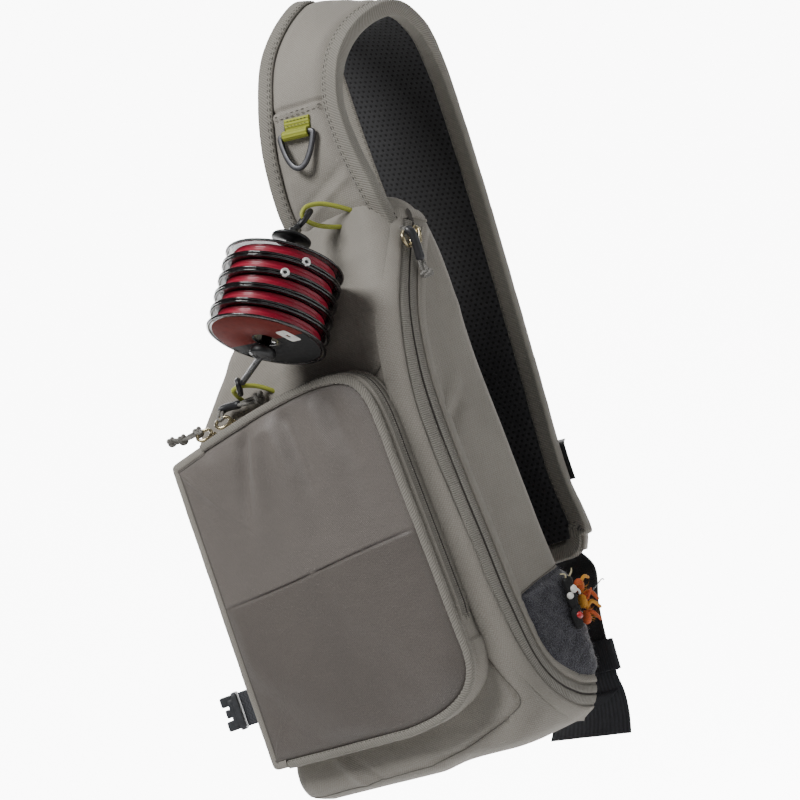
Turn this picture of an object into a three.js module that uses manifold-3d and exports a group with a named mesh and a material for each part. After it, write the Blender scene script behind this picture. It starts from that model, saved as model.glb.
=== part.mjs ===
// Fishing tackle sling bag: a padded one-strap pack with a front pocket, a side zip, a fleece fly
// patch, two elastic dock cords and a bar of line spools hung between them.
// Millimetres, +Z up, the front of the bag towards -Y. Pieces are laid out from the foot of the back
// panel, and the finished bag is then moved so that its origin is the shoulder seat of the strap.
import * as THREE from 'three';
import { mergeVertices } from 'three/addons/utils/BufferGeometryUtils.js';
import Module from 'manifold-3d';

const wasm = await Module();
wasm.setup();

// Driving dimensions
const SHOULDER_SEAT = [67, 36, 478]; // top of the space under the strap, where it lies on a shoulder
const SEAM_GAP = 0.35; // clearance between pieces that are sewn or seated together
const BODY_WALL = 2.5; // cloth with a thin foam backing
const SIDE_FLARE = 12; // how much narrower the right side is at the front than at the back
const CORNER_STEPS = 4; // facets in each rounded corner of the body

// Main body, from the foot up: height, left edge, right edge at the back, front, back, corner radius
const BODY_LEVELS = [
  { z: 0, left: -94, right: 92, front: -64, back: -6, corner: 15 },
  { z: 5, left: -100, right: 98, front: -71, back: 0, corner: 16 },
  { z: 20, left: -103, right: 103, front: -74, back: 4, corner: 16 },
  { z: 60, left: -103, right: 105, front: -72, back: 5, corner: 16 },
  { z: 130, left: -103, right: 102, front: -70, back: 5, corner: 16 },
  { z: 200, left: -103, right: 100, front: -69, back: 5, corner: 16 },
  { z: 240, left: -101, right: 99, front: -68, back: 5, corner: 16 },
  { z: 268, left: -76, right: 99, front: -64, back: 5, corner: 15 },
  { z: 297, left: -50, right: 99, front: -55, back: 5, corner: 14 },
  { z: 325, left: -24, right: 98, front: -46, back: 3, corner: 13 },
  { z: 338, left: -9, right: 95, front: -42, back: -3, corner: 11 },
  { z: 346, left: 4, right: 90, front: -39, back: -10, corner: 9 },
  { z: 350, left: 12, right: 83, front: -36, back: -16, corner: 7 },
];

// Main zip on the right side: depth and height of its centre line, from the top down
const ZIP_PATH = [
  { y: -17, z: 327 },
  { y: -34, z: 300 },
  { y: -48, z: 272 },
  { y: -56, z: 240 },
  { y: -59, z: 205 },
  { y: -59, z: 165 },
  { y: -58, z: 125 },
  { y: -58, z: 85 },
  { y: -54, z: 52 },
  { y: -43, z: 31 },
  { y: -25, z: 17 },
  { y: -8, z: 11.5 },
];
const ZIP = { slot: 8, tape: 17, coil: 5, tapeTop: 1.5, coilTop: 2.3, steps: 18 };

// Front pocket outline seen from the front
const POCKET = {
  left: -101.5, right: 77.5, rightTop: 73, bottom: 27, leftTop: 235,
  crownX: 12, crownZ: 254.5, topX: 44, topZ: 248.5, cornerStartX: 12, cornerEndZ: 66, cornerTopZ: 194,
  lowerPull: { x: 52, z: 29.5, endZ: 40 }, upperPull: { startZ: 230, x: 70, z: 245 },
  front: -86, seam: 134, wall: 2.5,
};
const POCKET_ZIP = {
  slot: 6, tape: 14, coil: 4.5, centre: -77, left: -76, bottom: 72, tapeTop: 1.4, coilTop: 2.1,
};
const PANEL = { inset: 4, skin: 2.2, crown: 4.2, lowerStep: 1.2 };
const BINDING = { out: 1.6, inset: 3.6, depth: 4.2 };
const BACK_PAD = { left: -84, right: 86, bottom: 22, top: 300, thickness: 8 };

// Shoulder strap, right and left edges from the bag's top, over the shoulder and down the back leg
const STRAP_ROWS = [
  { right: [90, -33, 340], left: [14, -33, 346] },
  { right: [88, -35, 359], left: [14, -36, 366] },
  { right: [84, -35, 388], left: [20, -40, 401] },
  { right: [82, -30, 417], left: [28, -38, 433] },
  { right: [85, -15, 445], left: [29, -20, 464] },
  { right: [93, 10, 465], left: [34, 5, 489] },
  { right: [102, 38, 471], left: [33, 33, 502] },
  { right: [101, 62, 458], left: [25, 58, 493] },
  { right: [94, 80, 437], left: [14, 74, 468] },
  { right: [88, 90, 404], left: [8, 80, 430] },
  { right: [84, 93, 350], left: [8, 80, 372] },
  { right: [83, 88, 290], left: [11, 76, 305] },
  { right: [85, 76, 215], left: [16, 64, 224] },
  { right: [90, 60, 145], left: [22, 50, 150] },
  { right: [98, 51, 106], left: [31, 44, 107] },
  { right: [94, 49, 94], left: [38, 44, 94] },
];
const STRAP = { pad: 7, lining: 2, binding: 10, bindingCloth: 1, steps: 25 };

// Black webbing: a stretch sewn on the strap's outer face, given as shares of the strap's length, then
// right and left edges from the strap's end down to the bag's foot
const WEBBING_SEAT = { places: [0.85, 0.89, 0.93, 0.97], width: 25, edge: 12.5 };
const WEBBING_DROP = [
  { right: [90.5, 55.3, 84], left: [65.5, 52.8, 84] },
  { right: [96, 36, 60], left: [71, 33, 60] },
  { right: [98.5, 27, 40], left: [73.5, 24.5, 40] },
  { right: [100, 21.5, 17], left: [75, 15, 17] },
];
const WEBBING = 1.8; // thickness of the flat webbing
const KEEPER = { top: 38, bottom: 19, slack: 0.5, cloth: 1.4 };
const WING_ROWS = [
  { right: [100.5, 21.5, 16.5], left: [62, 6, 16.5] },
  { right: [102, 20.5, 4], left: [57, 6, 4] },
  { right: [101, 19, -9], left: [51, 6.5, -6] },
  { right: [98.5, 17, -21], left: [46, 7, -13] },
];
const LOOP_ROWS = [
  { right: 100, left: 70, z: 16 },
  { right: 100.5, left: 69, z: 10 },
  { right: 95, left: 68, z: 4 },
  { right: 86, left: 67, z: 0.5 },
  { right: 76, left: 66, z: -1.5 },
];
const SIDE_WEBBING = [
  { right: [-88, 6.6, 78], left: [-88, 6.6, 53] },
  { right: [-104, 5, 78], left: [-104, 5, 53] },
  { right: [-130, -9, 78], left: [-130, -9, 53] },
  { right: [-166, -31, 77.5], left: [-166, -31, 53.5] },
];
const SIDE_BUCKLE = { at: [-168.5, -32.5, 65.5], turn: 0.52, plate: [4.5, 12, 27], block: [9, 4.5, 7.5] };

// Gear ring and its webbing tab, laid on the front leg of the strap
const RING = {
  at: [52, -45.3, 405], lean: 0.15, turn: 0.11, tilt: 0.19, width: 29, drop: 24, bar: 3.2, wire: 3.6,
};
const TAB = { width: 19, height: 11, half: 3.3, bore: 2.7, flap: 1.2 };

// Spool bar: its top and bottom disc centres, then sizes along its own axis
const STACK_TOP = [40, -85, 324.5];
const STACK_BOTTOM = [27.5, -111.5, 282];
const SPOOL = {
  count: 5, pitch: 10.3, flange: 37.5, web: 1.25, hub: 22, line: 34.5, bore: 3.4, width: 9.9, sides: 16,
};
const BAR = {
  radius: 2.9, stopper: 12.5, stopperWidth: 2.4, stopperAt: 42, top: 51, bottom: -36, knob: 8, knobWidth: 5,
};
const DOCK_CORD = 1.5; // radius of the elastic dock cords
const LINK = { ring: 4.6, wire: 1.5, stretch: 1.5, arm: 2 };
const TOP_LINK = [48.5, -62, 350];
const TOP_LINK_AXIS = [-0.25, -0.5, 0.83];
const LOW_LINK = [-31.8, -79.8, 267.2];
const LOW_LINK_AXIS = [0.75, 0.62, -0.12];
const TOP_DOCK = [
  [59, -38, 339], [55, -47, 341], [51, -56, 344.5], [48.8, -61.3, 349], [48.2, -62.6, 352.5],
  [50.5, -60, 356.5], [56, -52.5, 356.5], [63, -44.5, 351.5], [68, -37, 346],
];
const LOW_DOCK = [
  [-42, -62.5, 254.5], [-43, -67, 259], [-42.5, -72.5, 264], [-38, -79, 267], [-31, -78.8, 267.3],
  [-24.5, -72.5, 264.5], [-18.5, -67, 259], [-15.5, -62.5, 254.5],
];

// Side fleece patch and the two flies stuck in it: depth and height outline of the patch
const PATCH_OUTLINE = [
  { y: -48.5, z: 84.5 },
  { y: -26, z: 90 },
  { y: 9, z: 95 },
  { y: 9, z: 22 },
  { y: -6, z: 21.5 },
  { y: -21, z: 27.5 },
  { y: -36, z: 39 },
  { y: -45, z: 57 },
];
const PATCH_CLOTH = 4;

// Zip sliders with their wire rings, and the cord pulls tied to the rings
const SLIDER = { width: 8, length: 11, height: 3.4 };
const PULL = { ring: 5, wire: 0.9, loop: 2.9, cord: 1.4, sleeve: 2.8 };
const MAIN_SLIDER = { at: [95.8, -20.6, 318.5], lean: -0.4 };
const POCKET_SLOPE = 0.137; // rise of the pocket's top edge towards the right
const POCKET_SLIDERS = { a: [-69, -77, 243.2], b: [-50, -77, 246] };
const POCKET_RING = { offset: [-0.9, -6.8, 3.8], axis: [0.3, -0.6, 0.75] };
const MAIN_PULL = {
  ring: { at: [95.9, -31.6, 316.5], axis: [1, 0.15, 0] },
  loopAt: [0, 0, 1],
  runs: [
    { from: [100.6, -31.4, 318.5], to: [98.6, -28.8, 297.5], radius: PULL.sleeve },
    { from: [98.6, -28.8, 297.5], to: [100, -28.8, 291], radius: PULL.cord },
  ],
  knots: [{ at: [100, -28.8, 290.5], radius: 4.4 }],
};
const PULL_B = {
  loopAt: [-0.6, 0.6, 0.5],
  runs: [
    { from: [-57, -73.5, 258.8], to: [-37.6, -73.5, 257.3], radius: PULL.sleeve },
    { from: [-37.6, -73.5, 257.3], to: [-22.5, -73.5, 256.5], radius: PULL.cord },
  ],
  knots: [{ at: [-22.5, -73.5, 256.5], radius: 4.3 }],
};
const PULL_A = {
  loopAt: [-0.8, 0.4, 0.3],
  runs: [
    { from: [-77, -79.8, 250.8], to: [-93.5, -79.4, 250.3], radius: PULL.cord },
    { from: [-93.5, -79.4, 250.3], to: [-104.5, -80, 252], radius: PULL.cord },
  ],
  knots: [{ at: [-78.5, -79.8, 250.8], radius: 4.2 }, { at: [-93.5, -79.4, 250.3], radius: 3.9 }],
};
const GARAGE_OUTLINE = [{ y: -29, z: 330 }, { y: -28, z: 341 }, { y: -1, z: 334 }, { y: -4, z: 325 }];
const ANCHOR = { places: [0.835, 0.845, 0.86, 0.87], out: 3.5, inner: 10 };

// Colours and finishes
const finish = (color, roughness, metalness = 0) => ({ color, roughness, metalness });
const GREY_CLOTH = finish(0x99968f, 0.85);
const POCKET_CLOTH = finish(0x6f6a65, 0.8);
const BINDING_CLOTH = finish(0x8f8c84, 0.85);
const MESH_CLOTH = finish(0x1f1f20, 0.95);
const FLEECE = finish(0x4b4a52, 1);
const BLACK_WEBBING = finish(0x1c1d1f, 0.8);
const GREEN_CORD = finish(0xa8ae3f, 0.7);
const ZIP_TAPE = finish(0x77746d, 0.8);
const GUNMETAL = finish(0x5a5a5e, 0.35, 0.9);
const BLACK_PLASTIC = finish(0x17181a, 0.4);
const CLEAR_PLASTIC = finish(0x4a3a3c, 0.2);
const RED_LINE = finish(0xc41e3a, 0.45);
const SLEEVE_RUBBER = finish(0x4a4a50, 0.6);
const FLECKED_CORD = finish(0xb5b2ab, 0.85);
const ORANGE_FOAM = finish(0xd3632f, 0.8);

const vector = (values) => new THREE.Vector3(...values);
const points2 = (pairs) => pairs.map(([x, y]) => new THREE.Vector2(x, y));

// The turn that brings one direction onto another
const turnTo = (from, to) =>
  new THREE.Quaternion().setFromUnitVectors(vector(from), to.clone().normalize());

// Geometry to solid and back, so that pieces can be joined and cut
function toSolid(geometry) {
  const bare = geometry.index ? geometry.toNonIndexed() : geometry.clone();
  bare.deleteAttribute('normal');
  bare.deleteAttribute('uv');
  const welded = mergeVertices(bare, 1e-4);
  const vertProperties = new Float32Array(welded.attributes.position.array);
  const triVerts = new Uint32Array(welded.index.array);
  return new wasm.Manifold(new wasm.Mesh({ numProp: 3, vertProperties, triVerts }));
}

function toGeometry(solid) {
  const mesh = solid.getMesh();
  const geometry = new THREE.BufferGeometry();
  geometry.setAttribute('position', new THREE.BufferAttribute(new Float32Array(mesh.vertProperties), 3));
  geometry.setIndex(Array.from(mesh.triVerts));
  geometry.computeVertexNormals();
  return geometry;
}

const joined = (solids) => solids.reduce((sum, solid) => sum.add(solid));

// A closed skin through rings of equal count, with flat ends whose triangles come from the outline
function loft(rings, outline) {
  const count = outline.length;
  const positions = rings.flat().flatMap((point) => [point.x, point.y, point.z]);
  const ends = THREE.ShapeUtils.triangulateShape(outline, []);
  const index = [];
  for (let ring = 0; ring + 1 < rings.length; ring += 1) {
    for (let side = 0; side < count; side += 1) {
      const a = ring * count + side;
      const b = ring * count + ((side + 1) % count);
      index.push(a, b, b + count, a, b + count, a + count);
    }
  }
  const last = (rings.length - 1) * count;
  const turned = THREE.ShapeUtils.area(outline) < 0;
  for (const [a, b, c] of ends) {
    const face = turned ? [a, b, c] : [a, c, b];
    index.push(...face, last + face[0], last + face[2], last + face[1]);
  }
  const geometry = new THREE.BufferGeometry();
  geometry.setAttribute('position', new THREE.Float32BufferAttribute(positions, 3));
  geometry.setIndex(index);
  if (signedVolume(geometry) < 0) {
    for (let face = 0; face < index.length; face += 3) {
      [index[face + 1], index[face + 2]] = [index[face + 2], index[face + 1]];
    }
    geometry.setIndex(index);
  }
  return toSolid(geometry);
}

function signedVolume(geometry) {
  const corner = [new THREE.Vector3(), new THREE.Vector3(), new THREE.Vector3()];
  const index = geometry.index.array;
  let volume = 0;
  for (let face = 0; face < index.length; face += 3) {
    const { position } = geometry.attributes;
    corner.forEach((point, side) => point.fromBufferAttribute(position, index[face + side]));
    volume += corner[0].dot(corner[1].clone().cross(corner[2])) / 6;
  }
  return volume;
}

// A flat outline carried along X (outline in depth and height) or along Y (outline across and height)
const ALONG_X = new THREE.Matrix4().makeBasis(vector([0, 1, 0]), vector([0, 0, 1]), vector([1, 0, 0]));
const ALONG_Y = new THREE.Matrix4().makeBasis(vector([1, 0, 0]), vector([0, 0, 1]), vector([0, -1, 0]));

function prism(points, basis, from, to) {
  const shape = new THREE.Shape(points);
  const geometry = new THREE.ExtrudeGeometry(shape, { depth: Math.abs(to - from), bevelEnabled: false });
  const start = basis === ALONG_X ? [Math.min(from, to), 0, 0] : [0, Math.max(from, to), 0];
  geometry.applyMatrix4(basis);
  geometry.translate(...start);
  return toSolid(geometry);
}

function block(low, high) {
  const size = high.map((value, axis) => value - low[axis]);
  const geometry = new THREE.BoxGeometry(...size);
  geometry.translate(...low.map((value, axis) => value + size[axis] / 2));
  return toSolid(geometry);
}

function circle(radius, sides) {
  const turn = (2 * Math.PI) / sides;
  const corner = (angle) => [radius * Math.cos(angle), radius * Math.sin(angle)];
  return new THREE.Shape(points2(Array.from({ length: sides }, (_, place) => corner(place * turn))));
}

function tube(points, radius, steps, sides = 8) {
  const path = new THREE.CatmullRomCurve3(points.map(vector));
  const section = circle(radius, sides);
  return toSolid(new THREE.ExtrudeGeometry(section, { steps, extrudePath: path, bevelEnabled: false }));
}

function capsule(from, to, radius, sides = 6) {
  const start = vector(from);
  const run = vector(to).sub(start);
  const geometry = new THREE.CapsuleGeometry(radius, run.length(), 2, sides);
  geometry.applyQuaternion(turnTo([0, 1, 0], run));
  geometry.translate(...start.addScaledVector(run, 0.5).toArray());
  return toSolid(geometry);
}

// A plain cylinder between two points
function rod(from, to, radius, sides = 10) {
  const start = vector(from);
  const run = vector(to).sub(start);
  const geometry = new THREE.CylinderGeometry(radius, radius, run.length(), sides);
  geometry.applyQuaternion(turnTo([0, 1, 0], run));
  geometry.translate(...start.addScaledVector(run, 0.5).toArray());
  return toSolid(geometry);
}

function ball(centre, radius) {
  const geometry = new THREE.SphereGeometry(radius, 9, 5);
  geometry.translate(...centre);
  return toSolid(geometry);
}

// One level of the body: a rounded rectangle whose right side leans in towards the front
function bodyRing(level, grow, z) {
  const left = level.left - grow;
  const right = level.right + grow;
  const front = level.front - grow;
  const back = level.back + grow;
  const corner = Math.max(level.corner + grow, 1);
  const middle = (left + right) / 2;
  const corners = [
    { x: right - corner, y: back - corner, start: 0 },
    { x: left + corner, y: back - corner, start: 1 },
    { x: left + corner, y: front + corner, start: 2 },
    { x: right - corner, y: front + corner, start: 3 },
  ];
  const ring = [];
  for (const { x, y, start } of corners) {
    for (let step = 0; step <= CORNER_STEPS; step += 1) {
      const angle = (start + step / CORNER_STEPS) * (Math.PI / 2);
      ring.push(new THREE.Vector3(x + corner * Math.cos(angle), y + corner * Math.sin(angle), z));
    }
  }
  for (const point of ring) {
    const forward = (back - point.y) / (back - front);
    const outward = Math.max(0, (point.x - middle) / (right - middle));
    point.x -= SIDE_FLARE * forward * outward;
  }
  return ring;
}

function bodySolid(grow) {
  const last = BODY_LEVELS.length - 1;
  const rings = BODY_LEVELS.map((level, place) => {
    const end = place === 0 ? -grow : 0;
    return bodyRing(level, grow, level.z + (place === last ? grow : end));
  });
  return loft(rings, rings[0].map((point) => new THREE.Vector2(point.x, point.y)));
}

// A sewn-on skin: the part of a layer over the body that lies inside a prism
const bodyLayer = (prismSolid, from, to) => bodySolid(to).subtract(bodySolid(from)).intersect(prismSolid);
const clearOfBody = (solid, gap = SEAM_GAP) => solid.subtract(bodySolid(gap));

// Both sides of a curved centre line, as one closed outline
function bandOutline(rows, halfWidth, steps, trim = 0) {
  const curve = new THREE.SplineCurve(rows.map(({ y, z }) => new THREE.Vector2(y, z)));
  const sides = [[], []];
  for (let step = 0; step <= steps; step += 1) {
    const place = trim + ((1 - 2 * trim) * step) / steps;
    const point = curve.getPoint(place);
    const tangent = curve.getTangent(place);
    const across = new THREE.Vector2(-tangent.y, tangent.x).multiplyScalar(halfWidth);
    sides[0].push(point.clone().add(across));
    sides[1].unshift(point.clone().sub(across));
  }
  return [...sides[0], ...sides[1]];
}

const zipPrism = (width, trim) => prism(bandOutline(ZIP_PATH, width / 2, ZIP.steps, trim), ALONG_X, 60, 130);

function bodyShell() {
  return bodySolid(0).subtract(bodySolid(-BODY_WALL)).subtract(zipPrism(ZIP.slot, 0.03));
}

// Cloth tab over the top end of the zip
const garagePrism = prism(GARAGE_OUTLINE.map(({ y, z }) => new THREE.Vector2(y, z)), ALONG_X, 60, 130);
const zipGarage = () => bodyLayer(garagePrism, SEAM_GAP, ZIP.coilTop);

function mainZip() {
  const tape = bodyLayer(zipPrism(ZIP.tape, 0), SEAM_GAP, ZIP.tapeTop);
  const coil = bodyLayer(zipPrism(ZIP.coil, 0.02), SEAM_GAP, ZIP.coilTop);
  return tape.add(coil).subtract(garagePrism.translate(0, 0, -SEAM_GAP)).subtract(garagePrism);
}

// Front pocket outline, moved inwards by an inset, with sharp left corners
function pocketOutline(inset) {
  const { left, right, rightTop, bottom, leftTop, lowerPull, upperPull } = POCKET;
  const shape = new THREE.Shape();
  shape.moveTo(left, bottom);
  shape.lineTo(POCKET.cornerStartX, bottom);
  shape.bezierCurveTo(lowerPull.x, lowerPull.z, right, lowerPull.endZ, right, POCKET.cornerEndZ);
  shape.lineTo(rightTop, POCKET.cornerTopZ);
  shape.bezierCurveTo(rightTop, upperPull.startZ, upperPull.x, upperPull.z, POCKET.topX, POCKET.topZ);
  shape.quadraticCurveTo(POCKET.crownX, POCKET.crownZ, left, leftTop);
  const points = shape.getPoints(6);
  return points.map((point, place) => {
    const before = point.clone().sub(points[(place + points.length - 1) % points.length]).normalize();
    const after = points[(place + 1) % points.length].clone().sub(point).normalize();
    const inward = new THREE.Vector2(-before.y - after.y, before.x + after.x);
    return point.clone().addScaledVector(inward, inset / (1 + before.dot(after)));
  });
}

function pocketRing(outer, inner, from, to) {
  const whole = prism(pocketOutline(outer), ALONG_Y, from, to);
  return whole.subtract(prism(pocketOutline(inner), ALONG_Y, from + 1, to - 1));
}

// The stretch of the gusset that the pocket zip runs along, as a box cut to a width in depth
function pocketZipZone(width, margin) {
  const half = width / 2;
  return block(
    [POCKET_ZIP.left + margin, POCKET_ZIP.centre - half, POCKET_ZIP.bottom + margin],
    [120, POCKET_ZIP.centre + half, 300],
  );
}

function pocketGusset() {
  const wall = clearOfBody(pocketRing(0, POCKET.wall, -58, POCKET.front));
  const slot = pocketRing(-2, POCKET.wall + 2, -60, -90).intersect(pocketZipZone(POCKET_ZIP.slot, 6));
  return wall.subtract(slot);
}

function pocketZip() {
  const { tape, tapeTop, coil, coilTop } = POCKET_ZIP;
  const strip = (top, width, margin) =>
    pocketRing(-top, -SEAM_GAP, -60, -90).intersect(pocketZipZone(width, margin));
  return clearOfBody(strip(tapeTop, tape, 0).add(strip(coilTop, coil, 2)));
}

function pocketBinding() {
  const from = POCKET.front - SEAM_GAP;
  return pocketRing(-BINDING.out, BINDING.inset, from, from - BINDING.depth);
}

// Front cloth of the pocket: a crowned skin inside the binding, cut in two along the seam
function pocketPanel(step) {
  const from = POCKET.front - SEAM_GAP;
  const levels = [
    { depth: 0, inset: PANEL.inset },
    { depth: 2.8, inset: PANEL.inset + 0.3 },
    { depth: 2.8 + 0.6 * PANEL.crown, inset: PANEL.inset + 12 },
    { depth: 2.8 + PANEL.crown, inset: PANEL.inset + 28 },
  ];
  const outlines = levels.map(({ inset }) => pocketOutline(inset));
  const rings = levels.map(({ depth }, place) =>
    outlines[place].map((point) => new THREE.Vector3(point.x, from - depth - (place ? step : 0), point.y)));
  const full = loft(rings, outlines[0]);
  return full.subtract(full.translate(0, PANEL.skin, 0));
}

const panelPart = (step, low, high) =>
  pocketPanel(step).intersect(block([-130, -110, low], [130, -60, high]));

// Frame of a band at a share of its length: centre, across, outward direction and half width
const edgeCurves = (rows) => ({
  right: new THREE.CatmullRomCurve3(rows.map((row) => vector(row.right))),
  left: new THREE.CatmullRomCurve3(rows.map((row) => vector(row.left))),
});

function strapFrame({ right, left }, place) {
  const near = right.getPoint(place);
  const far = left.getPoint(place);
  const along = right.getTangent(place).add(left.getTangent(place)).normalize();
  const across = near.clone().sub(far);
  const half = across.length() / 2;
  across.normalize();
  const out = across.clone().cross(along).normalize();
  return { centre: near.add(far).multiplyScalar(0.5), across, out, half };
}

function strapFrames(rows, steps) {
  const curves = edgeCurves(rows);
  return Array.from({ length: steps + 1 }, (_, step) => strapFrame(curves, step / steps));
}

// A section carried along the strap: the outline gives across and outward for a half width
function sweep(frames, outlineFor) {
  const rings = frames.map(({ centre, across, out, half }) =>
    outlineFor(half).map((point) =>
      centre.clone().addScaledVector(across, point.x).addScaledVector(out, point.y)));
  return loft(rings, outlineFor(frames[0].half));
}

const flatSection = (half, low, high) => points2([[-half, low], [half, low], [half, high], [-half, high]]);

function padSection(half) {
  const thick = STRAP.pad / 2;
  const round = 2.2;
  return points2([
    [-half, -thick + round], [-half + round, -thick], [half - round, -thick], [half, -thick + round],
    [half, thick - round], [half - round, thick], [-half + round, thick], [-half, thick - round],
  ]);
}

// Binding folded over one edge of the strap, a channel section open towards the middle
function bindingSection(half, side) {
  const inner = STRAP.pad / 2 + SEAM_GAP;
  const outer = inner + STRAP.bindingCloth;
  const flange = half - STRAP.binding;
  const pairs = [
    [flange, inner], [half + SEAM_GAP, inner], [half + SEAM_GAP, -inner], [flange, -inner],
    [flange, -outer], [half + SEAM_GAP + STRAP.bindingCloth, -outer],
    [half + SEAM_GAP + STRAP.bindingCloth, outer], [flange, outer],
  ];
  return points2(pairs.map(([x, y]) => [x * side, y]));
}

const STRAP_CURVES = edgeCurves(STRAP_ROWS);
const strapPath = strapFrames(STRAP_ROWS, STRAP.steps);
const strapPad = () => clearOfBody(sweep(strapPath, padSection));
const PAD_REACH = STRAP.pad / 2 + SEAM_GAP;
const padWithGap = sweep(strapPath, (half) => flatSection(half, -PAD_REACH, PAD_REACH));
const strapBinding = (side) => clearOfBody(sweep(strapPath, (half) => bindingSection(half, side)));

function strapLining() {
  const top = -STRAP.pad / 2;
  const inset = STRAP.binding + SEAM_GAP;
  const layer = sweep(strapPath, (half) => flatSection(half - inset, top - SEAM_GAP - STRAP.lining, top));
  return clearOfBody(layer.subtract(padWithGap));
}

// The sewn stretch of the webbing lies on the pad, beside the flange of its binding
function webbingRows() {
  const lift = STRAP.pad / 2 + 2 * SEAM_GAP + WEBBING / 2;
  const sewn = WEBBING_SEAT.places.map((place) => {
    const { centre, across, out, half } = strapFrame(STRAP_CURVES, place);
    const at = (x) => centre.clone().addScaledVector(across, x).addScaledVector(out, lift).toArray();
    return { right: at(half - WEBBING_SEAT.edge), left: at(half - WEBBING_SEAT.edge - WEBBING_SEAT.width) };
  });
  return [...sewn, ...WEBBING_DROP];
}

const ribbon = (rows, thickness, extra = 0, steps = rows.length * 2) =>
  sweep(strapFrames(rows, steps), (half) => flatSection(half + extra, -thickness / 2, thickness / 2));

const strapWebbing = webbingRows();

// Black tab sewn over the strap's right edge where the webbing starts
function webbingAnchor() {
  const lift = STRAP.pad / 2 + 2 * SEAM_GAP + STRAP.bindingCloth + WEBBING / 2;
  const rows = ANCHOR.places.map((place) => {
    const { centre, across, out, half } = strapFrame(STRAP_CURVES, place);
    const at = (x) => centre.clone().addScaledVector(across, x).addScaledVector(out, lift).toArray();
    return { right: at(half + ANCHOR.out), left: at(half - ANCHOR.inner) };
  });
  return ribbon(rows, WEBBING, 0, 4);
}

function webbingKeeper() {
  const around = (reach) => ribbon(strapWebbing, WEBBING + 2 * reach, reach, 20);
  const sleeve = around(KEEPER.slack + KEEPER.cloth).subtract(around(KEEPER.slack));
  return sleeve.intersect(block([40, 0, KEEPER.bottom], [130, 80, KEEPER.top]));
}

// The webbing loop lies against the wing, so its depth follows the wing's slope
function webbingLoop() {
  const [top] = WING_ROWS;
  const slope = (top.right[1] - top.left[1]) / (top.right[0] - top.left[0]);
  const depth = (x) => top.left[1] + slope * (x - top.left[0]) - WEBBING - 1.4;
  const rows = LOOP_ROWS.map(({ right, left, z }) => ({
    right: [right, depth(right), z],
    left: [left, depth(left), z],
  }));
  return clearOfBody(ribbon(rows, WEBBING, 0, 10));
}

function placed(solid, matrix) {
  const geometry = toGeometry(solid);
  geometry.applyMatrix4(matrix);
  return toSolid(geometry);
}

// A stretched wire ring whose long side follows one direction and whose hole faces another
function link(centre, along, axis) {
  const holeAxis = vector(axis).normalize();
  const long = vector(along).projectOnPlane(holeAxis).normalize();
  const across = holeAxis.clone().cross(long);
  const geometry = new THREE.TorusGeometry(LINK.ring, LINK.wire, 5, 12);
  geometry.scale(LINK.stretch, 1, 1);
  geometry.applyMatrix4(new THREE.Matrix4().makeBasis(long, across, holeAxis).setPosition(...centre));
  return toSolid(geometry);
}

// Frame of the spool bar: origin midway between the end discs, Z along the bar towards the top
const stackTop = vector(STACK_TOP);
const stackBottom = vector(STACK_BOTTOM);
const stackAxis = stackTop.clone().sub(stackBottom).normalize();
const stackCentre = stackTop.clone().add(stackBottom).multiplyScalar(0.5);
const stackTurn = turnTo([0, 0, 1], stackAxis);
const stackMatrix = new THREE.Matrix4().compose(stackCentre, stackTurn, vector([1, 1, 1]));
const onAxis = (distance) => stackCentre.clone().addScaledVector(stackAxis, distance);

function disc(radius, from, to, sides) {
  const geometry = new THREE.CylinderGeometry(radius, radius, to - from, sides);
  geometry.rotateX(Math.PI / 2);
  geometry.translate(0, 0, (from + to) / 2);
  return toSolid(geometry);
}

function ringSolid(profile, sides) {
  const points = [...profile, profile[0]].map(([radius, height]) => new THREE.Vector2(radius, height));
  const geometry = new THREE.LatheGeometry(points, sides);
  geometry.rotateX(Math.PI / 2);
  return toSolid(geometry);
}

function spoolBar() {
  const shaft = disc(BAR.radius, BAR.bottom, BAR.top, 10);
  const stopper = disc(BAR.stopper, BAR.stopperAt, BAR.stopperAt + BAR.stopperWidth, 16);
  const collar = disc(5, BAR.stopperAt, BAR.stopperAt + 6, 10);
  const knob = disc(BAR.knob, BAR.bottom, BAR.bottom + BAR.knobWidth, 12);
  const bar = placed(joined([shaft, stopper, collar, knob]), stackMatrix);
  const ends = [
    { from: onAxis(BAR.top - 2), at: TOP_LINK, axis: TOP_LINK_AXIS },
    { from: onAxis(BAR.bottom + 1.5), at: LOW_LINK, axis: LOW_LINK_AXIS },
  ];
  const arms = ends.flatMap(({ from, at, axis }) => {
    const run = vector(at).sub(from);
    const meet = vector(at).addScaledVector(run.clone().normalize(), -LINK.ring * LINK.stretch);
    return [capsule(from.toArray(), meet.toArray(), LINK.arm, 6), link(at, run.toArray(), axis)];
  });
  return joined([bar, ...arms]);
}

function spoolBody() {
  const half = SPOOL.width / 2;
  const inner = half - SPOOL.web;
  return ringSolid([
    [SPOOL.bore, -half], [SPOOL.flange, -half], [SPOOL.flange, -inner], [SPOOL.hub, -inner],
    [SPOOL.hub, inner], [SPOOL.flange, inner], [SPOOL.flange, half], [SPOOL.bore, half],
  ], SPOOL.sides);
}

function lineWinding() {
  const half = SPOOL.width / 2 - SPOOL.web - SEAM_GAP;
  const inner = SPOOL.hub + SEAM_GAP;
  return ringSolid([[inner, -half], [SPOOL.line, -half], [SPOOL.line, half], [inner, half]], SPOOL.sides);
}

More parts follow.
